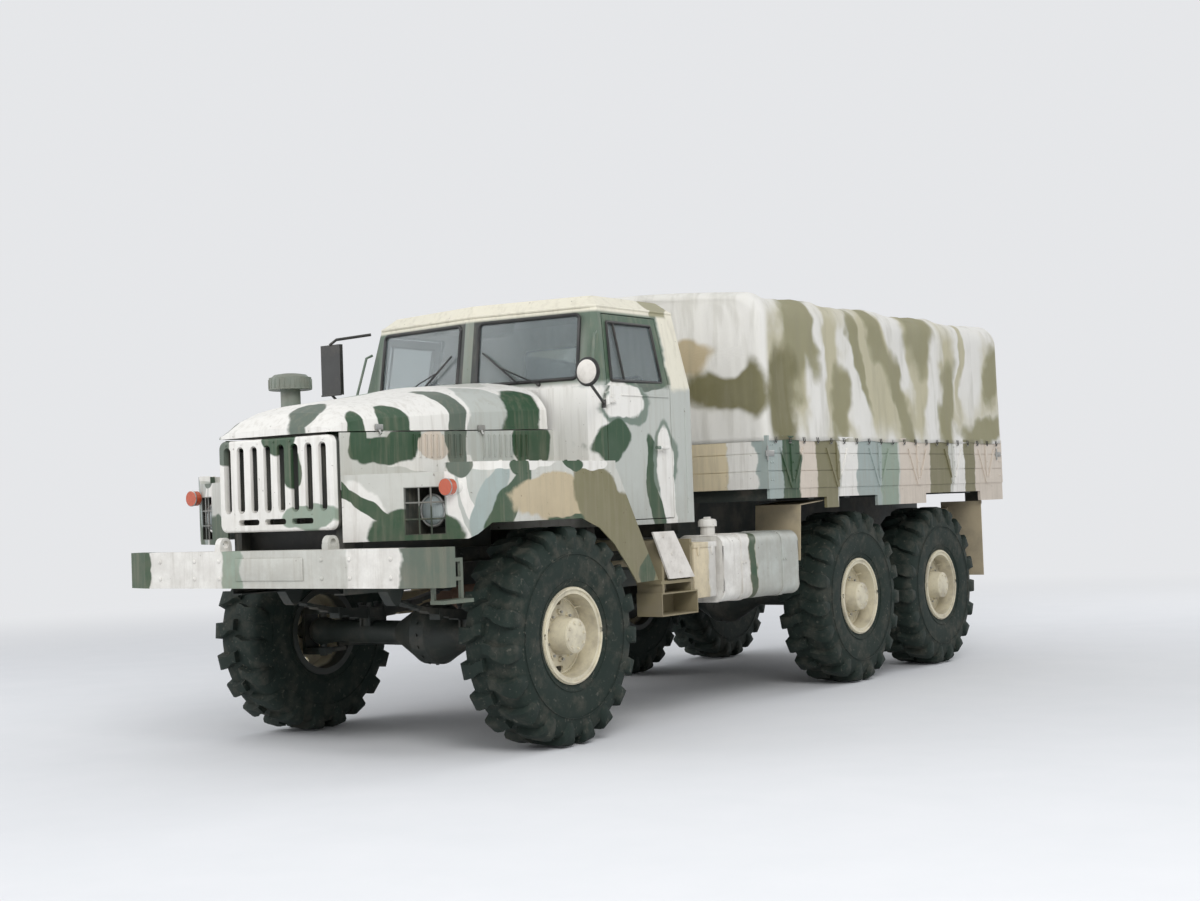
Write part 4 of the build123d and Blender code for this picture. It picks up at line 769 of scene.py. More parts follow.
# wheels: lock ring, hub cap with its bolts, valve, studs
hubSizes = {"capRadius": 0.094, "capFace": 0.187, "capBolts": 8, "boltCircle": 0.076,
            # lock ring and inner bead: along the axle, radius, thickness, steps, sides
            "rings": ((0.168, 0.268, 0.007, 60, 8), (0.050, 0.222, 0.006, 60, 6)),
            "valve": ((0.062, 0.150, 0.150), (0.100, 0.158, 0.158)),
            "studs": 10, "studCircle": 0.136, "studReach": (0.076, 0.090)}
for place, (wheelX, wheelY) in wheelPlaces.items():
    side = 1 if wheelX > 0 else -1
    out, body = Vector((side, 0, 0)), "wheel_" + place
    centre, face = Vector((wheelX, wheelY, hubZ)), hubSizes["capFace"]
    bm = bmesh.new()
    addTurned(bm, centre, out, (
        (0.176, 0.0), (0.176, hubSizes["capRadius"]), (face - 0.004, hubSizes["capRadius"]),
        (face, hubSizes["capRadius"] - 0.006), (face, 0.060), (face + 0.003, 0.052),
        (face + 0.004, 0.0)), 36)
    for along, *sizes in hubSizes["rings"]:
        addRing(bm, centre + out * along, out, *sizes)
    head = boltForm(out, 0.008, 0.007)
    bmesh.ops.translate(head, verts=head.verts,
                        vec=(side * (face - 0.001), 0, hubSizes["boltCircle"]))
    addRound(bm, head, hubSizes["capBolts"], centre, out, 0.2)
    addRod(bm, *(centre + Vector(end) for end in sided(side, *hubSizes["valve"])), 0.005, 8)
    finishPiece(bm, "hubCap_" + place, "rim", body)
    bm = bmesh.new()
    stud = formOf(addRod, *((side * x, 0, hubSizes["studCircle"])
                            for x in hubSizes["studReach"]), 0.0075, 10)
    addRound(bm, stud, hubSizes["studs"], centre, out)
    finishPiece(bm, "wheelStuds_" + place, "steel", body)
print("wheel details made")

# cover: one sheet from hem to hem over the hoops, closed at both ends
tarpSizes = {
    "half": 1.2475, "hem": 1.765, "eave": 2.795, "crown": 2.866, "corner": 0.185,
    "front": -0.3035, "rear": 3.6615, "hoops": (-0.238, 0.517, 1.537, 2.507, 3.593),
    "topSag": 0.048, "sideSag": 0.026, "thick": 0.0022, "foldDepth": 0.012,
    "lean": 0.012, "rounded": 0.055,  # of the sides, and of the turn into the ends
    "outline": (22, 9, 14), "length": 150, "across": 40,  # steps of the mesh
}


def tarpOutline():  # half section from the hem up to the crown, as (x, z)
    t = tarpSizes
    sides, turns, roofs = t["outline"]
    foot, rise = t["eave"] - t["corner"], t["crown"] - t["eave"]
    points = [(t["half"] - t["lean"] * n / sides, t["hem"] + (foot - t["hem"]) * n / sides)
              for n in range(sides + 1)]
    inner = t["half"] - t["lean"] - t["corner"]
    points += [(inner + t["corner"] * math.cos(a), foot + t["corner"] * math.sin(a))
               for a in (math.pi / 2 * n / turns for n in range(1, turns + 1))]
    return points + [(inner * (1 - n / roofs),
                      t["eave"] + rise * math.sin(n / roofs * math.pi / 2))
                     for n in range(1, roofs + 1)]


def ease(value):
    value = min(max(value, 0.0), 1.0)
    return value * value * (3 - 2 * value)


def tarpSag(y):  # 0 on a hoop, 1 midway between two
    hoops = tarpSizes["hoops"]
    for low, high in zip(hoops, hoops[1:]):
        if low <= y <= high:  # it drops just behind a hoop and climbs to the next
            share = (y - low) / (high - low)
            return ease(share / 0.22) * (1.0 - ease((share - 0.30) / 0.70)) ** 0.8
    return 0.0


def tarpPoint(x, z, y):
    t = tarpSizes
    side = 1 if x >= 0 else -1
    sag = tarpSag(y)
    top = ease((abs(z) - t["eave"] + 0.10) / 0.12)
    middle = 1.0 - (abs(x) / t["half"]) ** 3
    drop = t["topSag"] * sag * top * (0.35 + 0.65 * middle)
    height = (z - t["hem"]) / (t["eave"] - t["hem"])
    inward = 0.0
    if height < 0.98:  # the cloth hollows between hoops and folds fall from them
        belly = math.sin(math.pi * min(max(height, 0.0), 1.0))
        inward = t["sideSag"] * sag * (0.30 + 0.70 * belly)
        lean = 2.6 * height * math.sin(y * 1.7 + side)
        fold = math.sin(y * 15.0 + side * 1.3 + lean + 1.6 * math.sin(y * 3.1))
        fold += 0.45 * math.sin(y * 37.0 - 3.0 * height + 2.0 * math.sin(y * 5.3))
        inward += t["foldDepth"] * (0.6 + 0.42 * fold) * (0.28 + 0.72 * belly)
        nearest = min(abs(y - hoop) for hoop in t["hoops"])
        inward += 0.008 * math.exp(-(nearest - 0.10) ** 2 / 0.0016) * (0.3 + 0.7 * height)
    else:
        drop += 0.004 * (1.0 + math.sin(y * 23.0 + x * 3.0))
    lift = 0.012 * (1.0 - abs(math.sin(y * 5.2))) * ease((0.10 - height) / 0.10)
    return Vector((x - side * inward, y, z - drop + lift))


def makeTarp():
    t = tarpSizes
    bm = bmesh.new()
    outline = tarpOutline()
    section = outline + [(-x, z) for x, z in reversed(outline[:-1])]
    rows = []
    # the cloth turns softly into its ends
    rounded = t["rounded"]
    turns = [(rounded * (1 - math.cos(a)), rounded * (1 - math.sin(a)))
             for a in (math.pi / 2 * n / 4 for n in range(5))]
    first, last = t["front"] + rounded, t["rear"] - rounded
    stations = ([(t["front"] + along, inset) for along, inset in turns]
                + [(first + (last - first) * n / t["length"], 0.0)
                   for n in range(1, t["length"])]
                + [(t["rear"] - along, inset) for along, inset in reversed(turns)])
    for y, inset in stations:
        row = []
        for x, z in section:
            share = 1.0 - inset / t["half"]
            height = t["hem"] + (z - t["hem"]) * (1.0 - inset / 1.1)
            row.append(bm.verts.new(tarpPoint(x * share, height, y)))
        rows.append(row)
    for low, high in zip(rows, rows[1:]):
        for k in range(len(section) - 1):
            bm.faces.new((low[k], high[k], high[k + 1], low[k + 1]))
    # end sheets: rows that close in on the middle of each end
    middle = len(outline) - 1
    for row, way in ((rows[0], -1), (rows[-1], 1)):
        y = row[0].co.y
        levels = []
        for k in range(middle):
            left, right = row[k], row[-1 - k]
            span = []
            for n in range(1, t["across"]):
                spot = left.co.lerp(right.co, n / t["across"])
                bow = math.sin(math.pi * n / t["across"])
                fold = math.sin(spot.x * 17.0 + spot.z * 2.0) + math.sin(spot.x * 7.0)
                seam = math.exp(-((spot.z - 2.39) / 0.012) ** 2)
                spot.y = y - way * bow * (0.004 + 0.002 * (fold + 2)) + way * 0.003 * seam
                span.append(bm.verts.new(spot))
            levels.append([left, *span, right])
        for low, high in zip(levels, levels[1:]):
            for k in range(len(low) - 1):
                bm.faces.new((low[k], low[k + 1], high[k + 1], high[k]))
        for k in range(len(levels[-1]) - 1):
            bm.faces.new((levels[-1][k], levels[-1][k + 1], row[middle]))
    bmesh.ops.recalc_face_normals(bm, faces=bm.faces)
    area = sum(face.calc_area() for face in bm.faces)
    cover = finishPiece(bm, "loadCover", "tarp", angle=60)
    wall = cover.modifiers.new("thickness", "SOLIDIFY")
    wall.thickness, wall.offset = t["thick"], -1.0
    return cover, area


tarp, tarpArea = makeTarp()
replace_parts(tarp, "tarp")
print("cover made, cloth area", round(tarpArea, 2))

# rope loops under the cover's hem, and the cleats that they hook on
loopSizes = {"count": 20, "first": bedFront + 0.10, "step": (0, 0.196, 0), "x": 1.2425,
             "z": 1.792, "cleatX": 1.232, "cleatZ": 1.752}
loops, cleats = bmesh.new(), bmesh.new()
for side in (-1, 1):
    loop = formOf(addTube, sided(side, (0.0, -0.012, 0.0), (0.004, -0.012, -0.024),
                                 (0.006, 0.0, -0.040), (0.004, 0.012, -0.024),
                                 (0.0, 0.012, 0.0)), 0.003, 6)
    addRow(loops, loop, loopSizes["count"], (side * loopSizes["x"], loopSizes["first"],
                                             loopSizes["z"]), loopSizes["step"])
    cleat = formOf(addRod, (0, 0, 0), (side * 0.012, 0, 0), 0.005, 8)
    addBox(cleat, (side * 0.010, -0.012, -0.004), (side * 0.016, 0.012, 0.004), 0.002)
    addRow(cleats, cleat, loopSizes["count"], (side * loopSizes["cleatX"], loopSizes["first"],
                                               loopSizes["cleatZ"]), loopSizes["step"])
finishPiece(loops, "hemLoops", "dark")
finishPiece(cleats, "ropeCleats", "steel")

# boards: carriage bolts on the posts, corner latches, tailgate straps and handle
boardSizes = {"posts": 6, "firstPost": bedFront + 0.33,
              "postStep": (bedRear - bedFront - 0.66) / 5, "levels": (1.50, 1.62, 1.74),
              "straps": (-0.8, 0.0, 0.8), "strapLevels": (1.49, 1.56, 1.62, 1.70),
              "hooks": (-1.13, 1.13)}
bolts, latches, gate = (bmesh.new() for _ in range(3))
for side in (-1, 1):
    for level in boardSizes["levels"]:
        addRow(bolts, rivetForm((side, 0, 0), 0.010), boardSizes["posts"],
               (side * 1.243, boardSizes["firstPost"], level), (0, boardSizes["postStep"], 0))
    for y in (bedFront + 0.05, bedRear - 0.06):
        for level in boardSizes["levels"]:
            addRow(bolts, rivetForm((side, 0, 0), 0.009), 2,
                   (side * bedX, y - 0.012, level), (0, 0.03, 0))
    for y in (bedRear - 0.09, bedFront + 0.02):
        addBox(latches, *sided(side, (bedX - 0.001, y - 0.05, 1.66),
                               (bedX + 0.007, y + 0.06, 1.70)), 0.003)
        addRod(latches, *sided(side, (bedX + 0.006, y - 0.03, 1.63),
                               (bedX + 0.006, y - 0.03, 1.73)), 0.006, 8)
for x in boardSizes["straps"]:
    for level in boardSizes["strapLevels"]:
        addRow(gate, rivetForm((0, 1, 0), 0.008), 2, (x - 0.014, bedRear + 0.005, level),
               (0.028, 0, 0))
for x in boardSizes["hooks"]:
    addBox(gate, (x - 0.035, bedRear - 0.001, 1.68), (x + 0.035, bedRear + 0.006, 1.72), 0.003)
    addRod(gate, (x, bedRear + 0.004, 1.64), (x, bedRear + 0.004, 1.75), 0.006, 8)
addTube(gate, [(x, bedRear + out, 1.71) for x, out in (
    (0.34, 0.001), (0.34, 0.006), (0.46, 0.006), (0.46, 0.001))], 0.005, 8)
finishPiece(bolts, "boardBolts", "board")
finishPiece(latches, "boardLatches", "steel")
finishPiece(gate, "gateFittings", "gate", "tailgate_body")
print("bed details made")

# windows: rubber seals, wipers, quarter light bars
paneSizes = {"width": 0.746, "height": 0.406, "corner": 0.033, "seal": 0.012,
             "wiper": 0.0045, "blade": (0.17, 0.004, 0.006)}


def roundedLoop(width, height, corner, steps=6):
    loop = []
    for cx, cy, first in ((1, 1, 0), (-1, 1, 90), (-1, -1, 180), (1, -1, 270)):
        for n in range(steps + 1):
            a = math.radians(first + 90 * n / steps)
            loop.append((cx * (width / 2 - corner) + corner * math.cos(a),
                         cy * (height / 2 - corner) + corner * math.sin(a)))
    return loop


def screenPlane(side):  # middle, foot, rise and outward directions of one half of the screen
    baseIn, topIn = Vector((0, cabFront, beltZ)), Vector((0, cabFront + 0.075, screenTop))
    baseOut = Vector((side * 0.925, cabFront + 0.100, beltZ))
    topOut = Vector((side * 0.872, cabFront + 0.195, screenTop))
    foot = (baseOut - baseIn).normalized() * side
    out = foot.cross(topIn - baseIn).normalized()
    rise = out.cross(foot).normalized()
    return (baseIn + baseOut + topIn + topOut) / 4, foot, rise, out if out.y < 0 else -out


seals, wipers = bmesh.new(), bmesh.new()
for side in (-1, 1):
    middle, foot, rise, out = screenPlane(side)
    loop = roundedLoop(paneSizes["width"], paneSizes["height"], paneSizes["corner"])
    addTube(seals, [middle + foot * u + rise * v + out * 0.004 for u, v in loop],
            paneSizes["seal"], 8, closed=True)
    # the arms rest low, towards the middle
    pivot = middle + foot * side * 0.10 - rise * 0.226 + out * 0.004
    tip = middle - foot * side * 0.19 - rise * 0.10 + out * 0.026
    addRod(wipers, pivot, pivot + out * 0.022, 0.012, 12)
    addTube(wipers, [pivot + out * 0.020, pivot.lerp(tip, 0.5) + out * 0.032,
                     tip + out * 0.004], paneSizes["wiper"], 8)
    along = (rise * 0.62 - foot * side * 0.8).normalized()
    reach = Vector(paneSizes["blade"])
    addBox(wipers, tip - reach, tip + reach, 0.002,
           Matrix((along, out, along.cross(out))).transposed())
addTube(seals, [(u, cabRear + 0.001, beltZ + 0.23 + v) for u, v in
                roundedLoop(0.622, 0.262, 0.041)], 0.010, 8, closed=True)
finishPiece(seals, "screenSeals", "dark")
finishPiece(wipers, "wipers", "dark")

doorFront, doorRear, doorHigh = cabFront + 0.112, cabFront + 0.815, 2.562
windowOutline = ((doorFront + 0.095, beltZ + 0.035), (doorRear - 0.060, beltZ + 0.035),
                 (doorRear - 0.060, doorHigh - 0.055), (doorFront + 0.165, doorHigh - 0.055))


def sideSkin(z):  # the cab's outer half width above the belt
    return 1.0175 - (z - beltZ) / (screenTop - beltZ) * 0.1075


for side, hand in ((1, "left"), (-1, "right")):
    bm = bmesh.new()
    corners = [Vector((side * (sideSkin(z) - 0.004), y, z)) for y, z in windowOutline]
    loop = []
    for n, corner in enumerate(corners):
        before, after = corners[n - 1], corners[(n + 1) % 4]
        loop += [corner.lerp(before, 0.05), corner.lerp(before, 0.015),
                 corner.lerp(after, 0.015), corner.lerp(after, 0.05)]
    addTube(bm, loop, 0.010, 8, closed=True)
    split = doorFront + 0.235  # fixed quarter light ahead of the sliding pane
    addTube(bm, [(side * (sideSkin(z) - 0.006), split, z)
                 for z in (beltZ + 0.035, doorHigh - 0.055)], 0.008, 8)
    finishPiece(bm, "windowSeal_" + hand, "dark", "door_" + hand + "_body")
    bm = bmesh.new()
    for z, profile, steps in ((1.72, ((0.0, 0.028), (0.005, 0.026), (0.006, 0.0)), 24),
                              (1.655, ((0.0, 0.014), (0.004, 0.013), (0.005, 0.0)), 16)):
        addTurned(bm, (side * 1.028, doorRear - 0.10, z), (side, 0, 0), profile, steps)
    addTube(bm, sided(side, (cabHalf + 0.003, doorFront + 0.16, 2.045),
                      (cabHalf + 0.003, doorRear - 0.03, 2.045)), 0.005, 8)
    for level in (1.520, 2.020):
        addRow(bm, boltForm((side, 0, 0), 0.007, 0.006), 2,
               (side * (cabHalf + 0.0155), doorFront + 0.035, level + 0.012),
               (0, 0.034, -0.024))
    finishPiece(bm, "doorFittings_" + hand, "door", "door_" + hand + "_body")

# cab: rain gutter, grab bars, seams in the back wall
cabTrim = {"gutterZ": 2.606, "gutter": 0.011, "seam": 0.004, "grab": 0.009}
bm = bmesh.new()
gutter = [(0.912, cabRear - 0.022), (0.903, cabFront + 0.215), (0.872, cabFront + 0.193),
          (0.0, cabFront + 0.073)]
addTube(bm, [(x, y, cabTrim["gutterZ"]) for x, y in
             gutter + [(-x, y) for x, y in reversed(gutter[:-1])]], cabTrim["gutter"], 8)
for side in (-1, 1):
    addTube(bm, [(side * (cabHalf + 0.001), cabRear - 0.07, z) for z in (1.30, 1.98)],
            cabTrim["seam"], 6)
    addTube(bm, sided(side, (0.975, cabFront + 0.060, 2.13), (0.985, cabFront + 0.030, 2.15),
                      (0.958, cabFront + 0.110, 2.42), (0.940, cabFront + 0.150, 2.44)),
            cabTrim["grab"], 8)
for z in (2.02, 1.62):
    addTube(bm, [(x, cabRear + 0.001, z) for x in (-0.62, 0.62)], cabTrim["seam"], 6)
finishPiece(bm, "cabTrim", "cab")

# bonnet: latches on its lower edge
latchSizes = {"stations": (-3.30, -2.55), "low": 1.835, "high": 1.868, "handle": 1.812}
bm = bmesh.new()
for side in (-1, 1):
    for y in latchSizes["stations"]:
        half = 0.460 + 0.240 * (y - noseFront) / 1.6
        addBox(bm, *sided(side, (half + 0.001, y - 0.030, latchSizes["low"]),
                          (half + 0.014, y + 0.030, latchSizes["high"])), 0.004)
        addRod(bm, *sided(side, (half + 0.010, y, latchSizes["low"]),
                          (half + 0.022, y, latchSizes["handle"])), 0.008, 10)
finishPiece(bm, "bonnetLatches", "steel", "hood_body")

# wings: bolts along the edge strips
bm = bmesh.new()
for side in (-1, 1):
    addRow(bm, boltForm((0, 0, 1), 0.009, 0.007), 9, (side * 1.162, axleY - 0.60, 1.6325),
           (0, 0.118, 0))
    addRow(bm, rivetForm((side, 0, 0), 0.007), 12, (side * 1.1895, axleY - 0.58, 1.565),
           (0, 0.088, 0))
finishPiece(bm, "wingBolts", "wing")

# lamps: domed glass in chrome rims, guard bars, marker rims, rear lamps
lampSizes = {"x": 0.877, "z": 1.376, "face": -3.2847, "radius": 0.080, "dome": 0.026,
             "markerX": 1.024, "markerZ": 1.5, "rearX": 1.0, "rearZ": 1.28}
lenses, rims, bars = (bmesh.new() for _ in range(3))
for side in (-1, 1):
    x, z, y = side * lampSizes["x"], lampSizes["z"], lampSizes["face"]
    dome = [(lampSizes["dome"] * math.cos(a), lampSizes["radius"] * math.sin(a))
            for a in (math.pi / 2 * n / 8 for n in range(9))]
    addTurned(lenses, (x, y, z), (0, -1, 0), dome, 48)
    addRing(rims, (x, y - 0.002, z), (0, 1, 0), 0.086, 0.008)
    for shift in (-0.030, 0.030):
        front = noseFront + (lampSizes["x"] + side * shift - 0.46) * 0.5 + 0.004
        addRod(bars, (x + shift, front, z - 0.128), (x + shift, front, z + 0.128), 0.005, 8)
    markerY = noseFront + (lampSizes["markerX"] - 0.506) * 0.5 - 0.042
    addRing(rims, (side * lampSizes["markerX"], markerY, lampSizes["markerZ"]), (0, 1, 0),
            0.045, 0.004, 32, 6)
    rear = Vector((side * lampSizes["rearX"], bedRear - 0.052, lampSizes["rearZ"]))
    addTurned(lenses, rear + Vector((0, 0.0015, 0)), (0, 1, 0),
              ((0.0, 0.050), (0.006, 0.046), (0.010, 0.030), (0.011, 0.0)), 32)
    addRing(rims, rear, (0, 1, 0), 0.053, 0.004, 32, 6)
finishPiece(rims, "lampRims", "steel")
finishPiece(bars, "lampGuards", "wing")
finishPiece(lenses, "lampGlasses", "lens")

# mirrors: the round left one with a white domed back, the tall right one
mirrorSizes = {"x": 1.222, "z": 2.15, "back": -2.3035, "rim": -2.290, "glass": -2.2745}
backs, rims, glasses = (bmesh.new() for _ in range(3))
x, z = mirrorSizes["x"], mirrorSizes["z"]
addTurned(backs, (x, mirrorSizes["back"], z), (0, -1, 0), ((0.0, 0.070), (0.007, 0.060),
                                                           (0.013, 0.036), (0.015, 0.0)), 40)
addRing(rims, (x, mirrorSizes["rim"], z), (0, 1, 0), 0.079, 0.008)
addTube(rims, [(-1.21, -1.945, 2.527), (-1.16, -1.93, 2.560), (-0.96, -1.80, 2.585)], 0.010, 8)
addRod(rims, (x, -2.275, z), (x, -2.262, z), 0.020, 16)
addBox(rims, (-1.305, -1.946, 2.178), (-1.115, -1.940, 2.190), 0.002)
addTurned(glasses, (x, mirrorSizes["glass"], z), (0, 1, 0),
          ((0.0, 0.072), (0.0012, 0.072), (0.0012, 0.0)), 40)
addBox(glasses, (-1.293, -1.9125, 2.192), (-1.127, -1.911, 2.519), 0.0005)
finishPiece(backs, "mirrorBack", "sill")
finishPiece(rims, "mirrorRims", "dark")
finishPiece(glasses, "mirrorGlasses", "mirror")

# grille screws; bumper: carriage bolts and a bare plate
faceSizes = {"grille": -3.6235, "bumper": -3.6835,
             "bumperBolts": (-0.62, -0.41, 0.41, 0.62, 0.92, -0.92)}
screws, bumper = bmesh.new(), bmesh.new()
for count, x, z, step in ((7, -0.39, 1.790, 0.13), (2, -0.41, 1.305, 0.82)):
    addRow(screws, rivetForm((0, -1, 0), 0.008), count, (x, faceSizes["grille"], z),
           (step, 0, 0))
for x in faceSizes["bumperBolts"]:
    addRow(bumper, rivetForm((0, -1, 0), 0.013), 2, (x, faceSizes["bumper"], 1.03),
           (0, 0, 0.10))
addBox(bumper, (-0.27, -3.690, 1.018), (0.27, faceSizes["bumper"], 1.142), 0.003)
finishPiece(screws, "grilleScrews", "grille")
finishPiece(bumper, "bumperBoltsAndBarePlate", "bumper")

# air cleaner: ribs round its cap, rings on its pipe
cleanerSizes = {"x": -0.77, "y": -2.743, "ribs": 24, "ribZ": 2.200, "topZ": 2.240}
bm = bmesh.new()
x, y = cleanerSizes["x"], cleanerSizes["y"]
addRound(bm, formOf(addBox, (0.118, -0.004, -0.030), (0.136, 0.004, 0.030), 0.002),
         cleanerSizes["ribs"], (x, y, cleanerSizes["ribZ"]), (0, 0, 1))
addTurned(bm, (x, y, cleanerSizes["topZ"]), (0, 0, 1), ((0.0, 0.120), (0.018, 0.100),
                                                        (0.026, 0.050), (0.028, 0.0)), 40)
for z, radius, steps in ((2.168, 0.130, 48), (1.72, 0.064, 32), (2.05, 0.064, 32)):
    addRing(bm, (x, y, z), (0, 0, 1), radius, 0.006, steps)
finishPiece(bm, "airCleanerRibs", "intake")

# fuel tank: cap, end beads, strap bolts; right side: air tank hoops, box lid and catches
tankSizes = {"cap": (1.010, -0.733, 1.240), "beads": (-0.851, 0.120),
             "section": (0.349, 0.428, 0.068), "middle": (1.0225, 0.931),
             "straps": (-0.603, -0.078), "airTanks": (0.820, 1.075),
             "hoops": (-0.363, -0.233, -0.048, 0.082), "catches": (-0.74, -0.54)}
tank, boxes = bmesh.new(), bmesh.new()
addTurned(tank, tankSizes["cap"], (0, 0, 1), ((0.0, 0.058), (0.010, 0.056), (0.016, 0.030),
                                              (0.017, 0.0)), 32)
addBox(tank, (0.985, -0.740, 1.252), (1.035, -0.726, 1.268), 0.003)
for y in tankSizes["beads"]:
    midX, midZ = tankSizes["middle"]
    addTube(tank, [(midX + u, y, midZ + v) for u, v in
                   roundedLoop(*tankSizes["section"], 8)], 0.006, 8, closed=True)
for y in tankSizes["straps"]:
    addRow(tank, boltForm((1, 0, 0), 0.009, 0.010), 2, (1.2055, y - 0.017, 0.960),
           (0, 0.034, 0))
for z in tankSizes["airTanks"]:
    for y in tankSizes["hoops"]:
        addRing(boxes, (-1.0, y, z), (0, 1, 0), 0.121, 0.005, 40, 6)
addBox(boxes, (-1.196, -0.845, 1.085), (-0.796, -0.431, 1.136), 0.006)
for y in tankSizes["catches"]:
    addBox(boxes, (-1.199, y - 0.014, 1.030), (-1.189, y + 0.014, 1.100), 0.003)
finishPiece(tank, "tankFittings", "tank")
finishPiece(boxes, "boxFittings", "sill")

# steps: raised treads, bolts; pale splash boards that slant back from the wings over them
stepSizes = {"rows": (1.03, 1.075, 1.12, 1.165), "knobs": 12, "first": axleY + 0.905,
             "top": 0.8885, "splashX": (1.191, 1.204),
             "splash": ((-1.655, 1.195), (-1.425, 1.195), (-1.205, 0.900), (-1.490, 0.900))}
steps, splash = bmesh.new(), bmesh.new()
for side in (-1, 1):
    knob = formOf(addBox, (-0.014, -0.004, 0.0), (0.014, 0.004, 0.005), 0.0015)
    for x in stepSizes["rows"]:
        addRow(steps, knob, stepSizes["knobs"], (side * x, stepSizes["first"],
                                                 stepSizes["top"]), (0, 0.028, 0))
    addRow(steps, boltForm((side, 0, 0), 0.009, 0.007), 2,
           (side * 1.1905, axleY + 0.901, 1.110), (0, 0.320, 0))
    inner, outer = ([splash.verts.new((side * x, y, z)) for y, z in stepSizes["splash"]]
                    for x in stepSizes["splashX"])
    splash.faces.new(inner)
    splash.faces.new(outer)
    bridge(splash, inner, outer)
    addRow(splash, boltForm((side, 0, 0), 0.008, 0.006), 3,
           (side * stepSizes["splashX"][1], -1.545, 1.165), (0, 0.088, -0.112))
finishPiece(steps, "stepTreads", "step")
finishPiece(splash, "splashBoards", "sill")

# battery box between the left steps and the tank, hung on the rail
batterySizes = {"low": (0.760, -1.150, 0.755), "high": (1.165, -0.885, 1.105),
                "lid": 0.030, "lip": 0.006}
bm = bmesh.new()
low, high = Vector(batterySizes["low"]), Vector(batterySizes["high"])
lip = batterySizes["lip"]
addBox(bm, low, high, 0.012)
addBox(bm, (low.x - lip, low.y - lip, high.z - batterySizes["lid"]),
       (high.x + lip, high.y + lip, high.z + lip), 0.005)
for y in (low.y + 0.05, high.y - 0.05):
    addBox(bm, (0.452, y - 0.020, 0.960), (low.x + 0.004, y + 0.020, 1.000), 0.003)
    addBox(bm, (high.x - 0.001, y - 0.014, high.z - 0.075),
           (high.x + 0.009, y + 0.014, high.z - 0.020), 0.003)
finishPiece(bm, "batteryBox", "tank")

# frame: rivets and pipes along the rails, spring clips, axle cover bolts
railSizes = {"levels": (0.965, 1.115), "rivets": 46, "step": 0.152, "pipeZ": 1.055,
             "springX": (0.372, 0.446), "clips": (-0.32, 0.32),
             "covers": ((0.12, axleY, 0.188), (0.0, midY, 0.205), (0.0, rearY, 0.205))}
rails, springs, axles = (bmesh.new() for _ in range(3))
middleY = (midY + rearY) / 2
for side in (-1, 1):
    for z in railSizes["levels"]:
        addRow(rails, rivetForm((side, 0, 0), 0.010), railSizes["rivets"],
               (side * 0.4505, -3.48, z), (0, railSizes["step"], 0))
    addTube(rails, [(side * 0.456, y, railSizes["pipeZ"] + 0.012 * math.sin(y * 2.0))
                    for y in (-3.3 + 0.25 * n for n in range(26))], 0.006, 6)
    for y in (axleY - 0.07, axleY + 0.07):
        for x in railSizes["springX"]:
            for low, high, radius, corners in ((0.040, 0.178, 0.009, 8),
                                               (0.172, 0.186, 0.017, 6)):
                addRod(springs, (side * x, y, hubZ + low), (side * x, y, hubZ + high),
                       radius, corners)
    for shift in railSizes["clips"]:
        addBox(springs, *sided(side, (0.367, axleY + shift - 0.016, hubZ + 0.108),
                               (0.451, axleY + shift + 0.016, hubZ + 0.176)), 0.003)
    for y in (middleY - 0.05, middleY + 0.05):
        addRod(springs, *sided(side, (0.463, y, 0.93), (0.463, y, 0.99)), 0.011, 8)
    addTurned(springs, (side * 0.530, middleY, hubZ + 0.015), (side, 0, 0),
              ((0.0, 0.085), (0.020, 0.080), (0.030, 0.050), (0.032, 0.0)), 32)
for x, y, radius in railSizes["covers"]:
    head = formOf(addRod, (0, 0, radius - 0.004), (0, 0, radius + 0.007), 0.011, 6)
    addRound(axles, head, 16, (x, y, hubZ), (1, 0, 0))
finishPiece(rails, "railRivets", "chassis")
finishPiece(springs, "springFittings", "chassis")
finishPiece(axles, "axleBolts", "axle")

# inside the cab: instruments and levers
dialSizes = {"places": ((0.36, 0.034), (0.44, 0.040), (0.53, 0.040), (0.61, 0.028)),
             "face": cabFront + 0.292, "z": 2.000}
bm = bmesh.new()
addBox(bm, (0.30, cabFront + 0.262, 1.945), (0.66, dialSizes["face"], 2.052), 0.010)
for x, radius in dialSizes["places"]:
    addRing(bm, (x, dialSizes["face"], dialSizes["z"]), (0, 1, 0), radius, 0.004, 28, 6)
addRod(bm, (0.13, -1.50, 1.30), (0.10, -1.43, 1.78), 0.010, 10)
addTurned(bm, (0.10, -1.43, 1.77), (0, 0, 1), ((0.0, 0.0), (0.004, 0.018), (0.020, 0.026),
                                              (0.038, 0.018), (0.044, 0.0)), 20)
addRod(bm, (0.06, -1.46, 1.30), (0.04, -1.42, 1.62), 0.009, 10)
finishPiece(bm, "instruments", "dark")

# under the bonnet: valve covers and intake pipes, radiator and fan, hoses
engineSizes = {"front": -3.239, "top": 1.636, "coverX": 0.185, "cylinders": 4,
               "pitch": 0.215, "firstCylinder": -3.020, "pipeZ": 1.722, "fins": 40,
               "fan": (0, -3.318, 1.420), "blades": 6}
engine, radiator, hoses = (bmesh.new() for _ in range(3))
top, firstY = engineSizes["top"], engineSizes["firstCylinder"]
for side in (-1, 1):
    x = side * engineSizes["coverX"]
    for n in range(engineSizes["cylinders"]):
        y = firstY + n * engineSizes["pitch"]
        addBox(engine, (x - 0.080, y - 0.096, top), (x + 0.080, y + 0.096, 1.700), 0.020)
        addRod(engine, (x, y, 1.698), (x, y, 1.712), 0.013, 6)
        addTube(engine, [(x - side * 0.075, y, 1.672), (x - side * 0.112, y, 1.700),
                         (side * 0.046, y, 1.718)], 0.017, 10)
addTube(engine, [(0, y, engineSizes["pipeZ"]) for y in (firstY - 0.07, -2.60, -2.290)],
        0.038, 16)
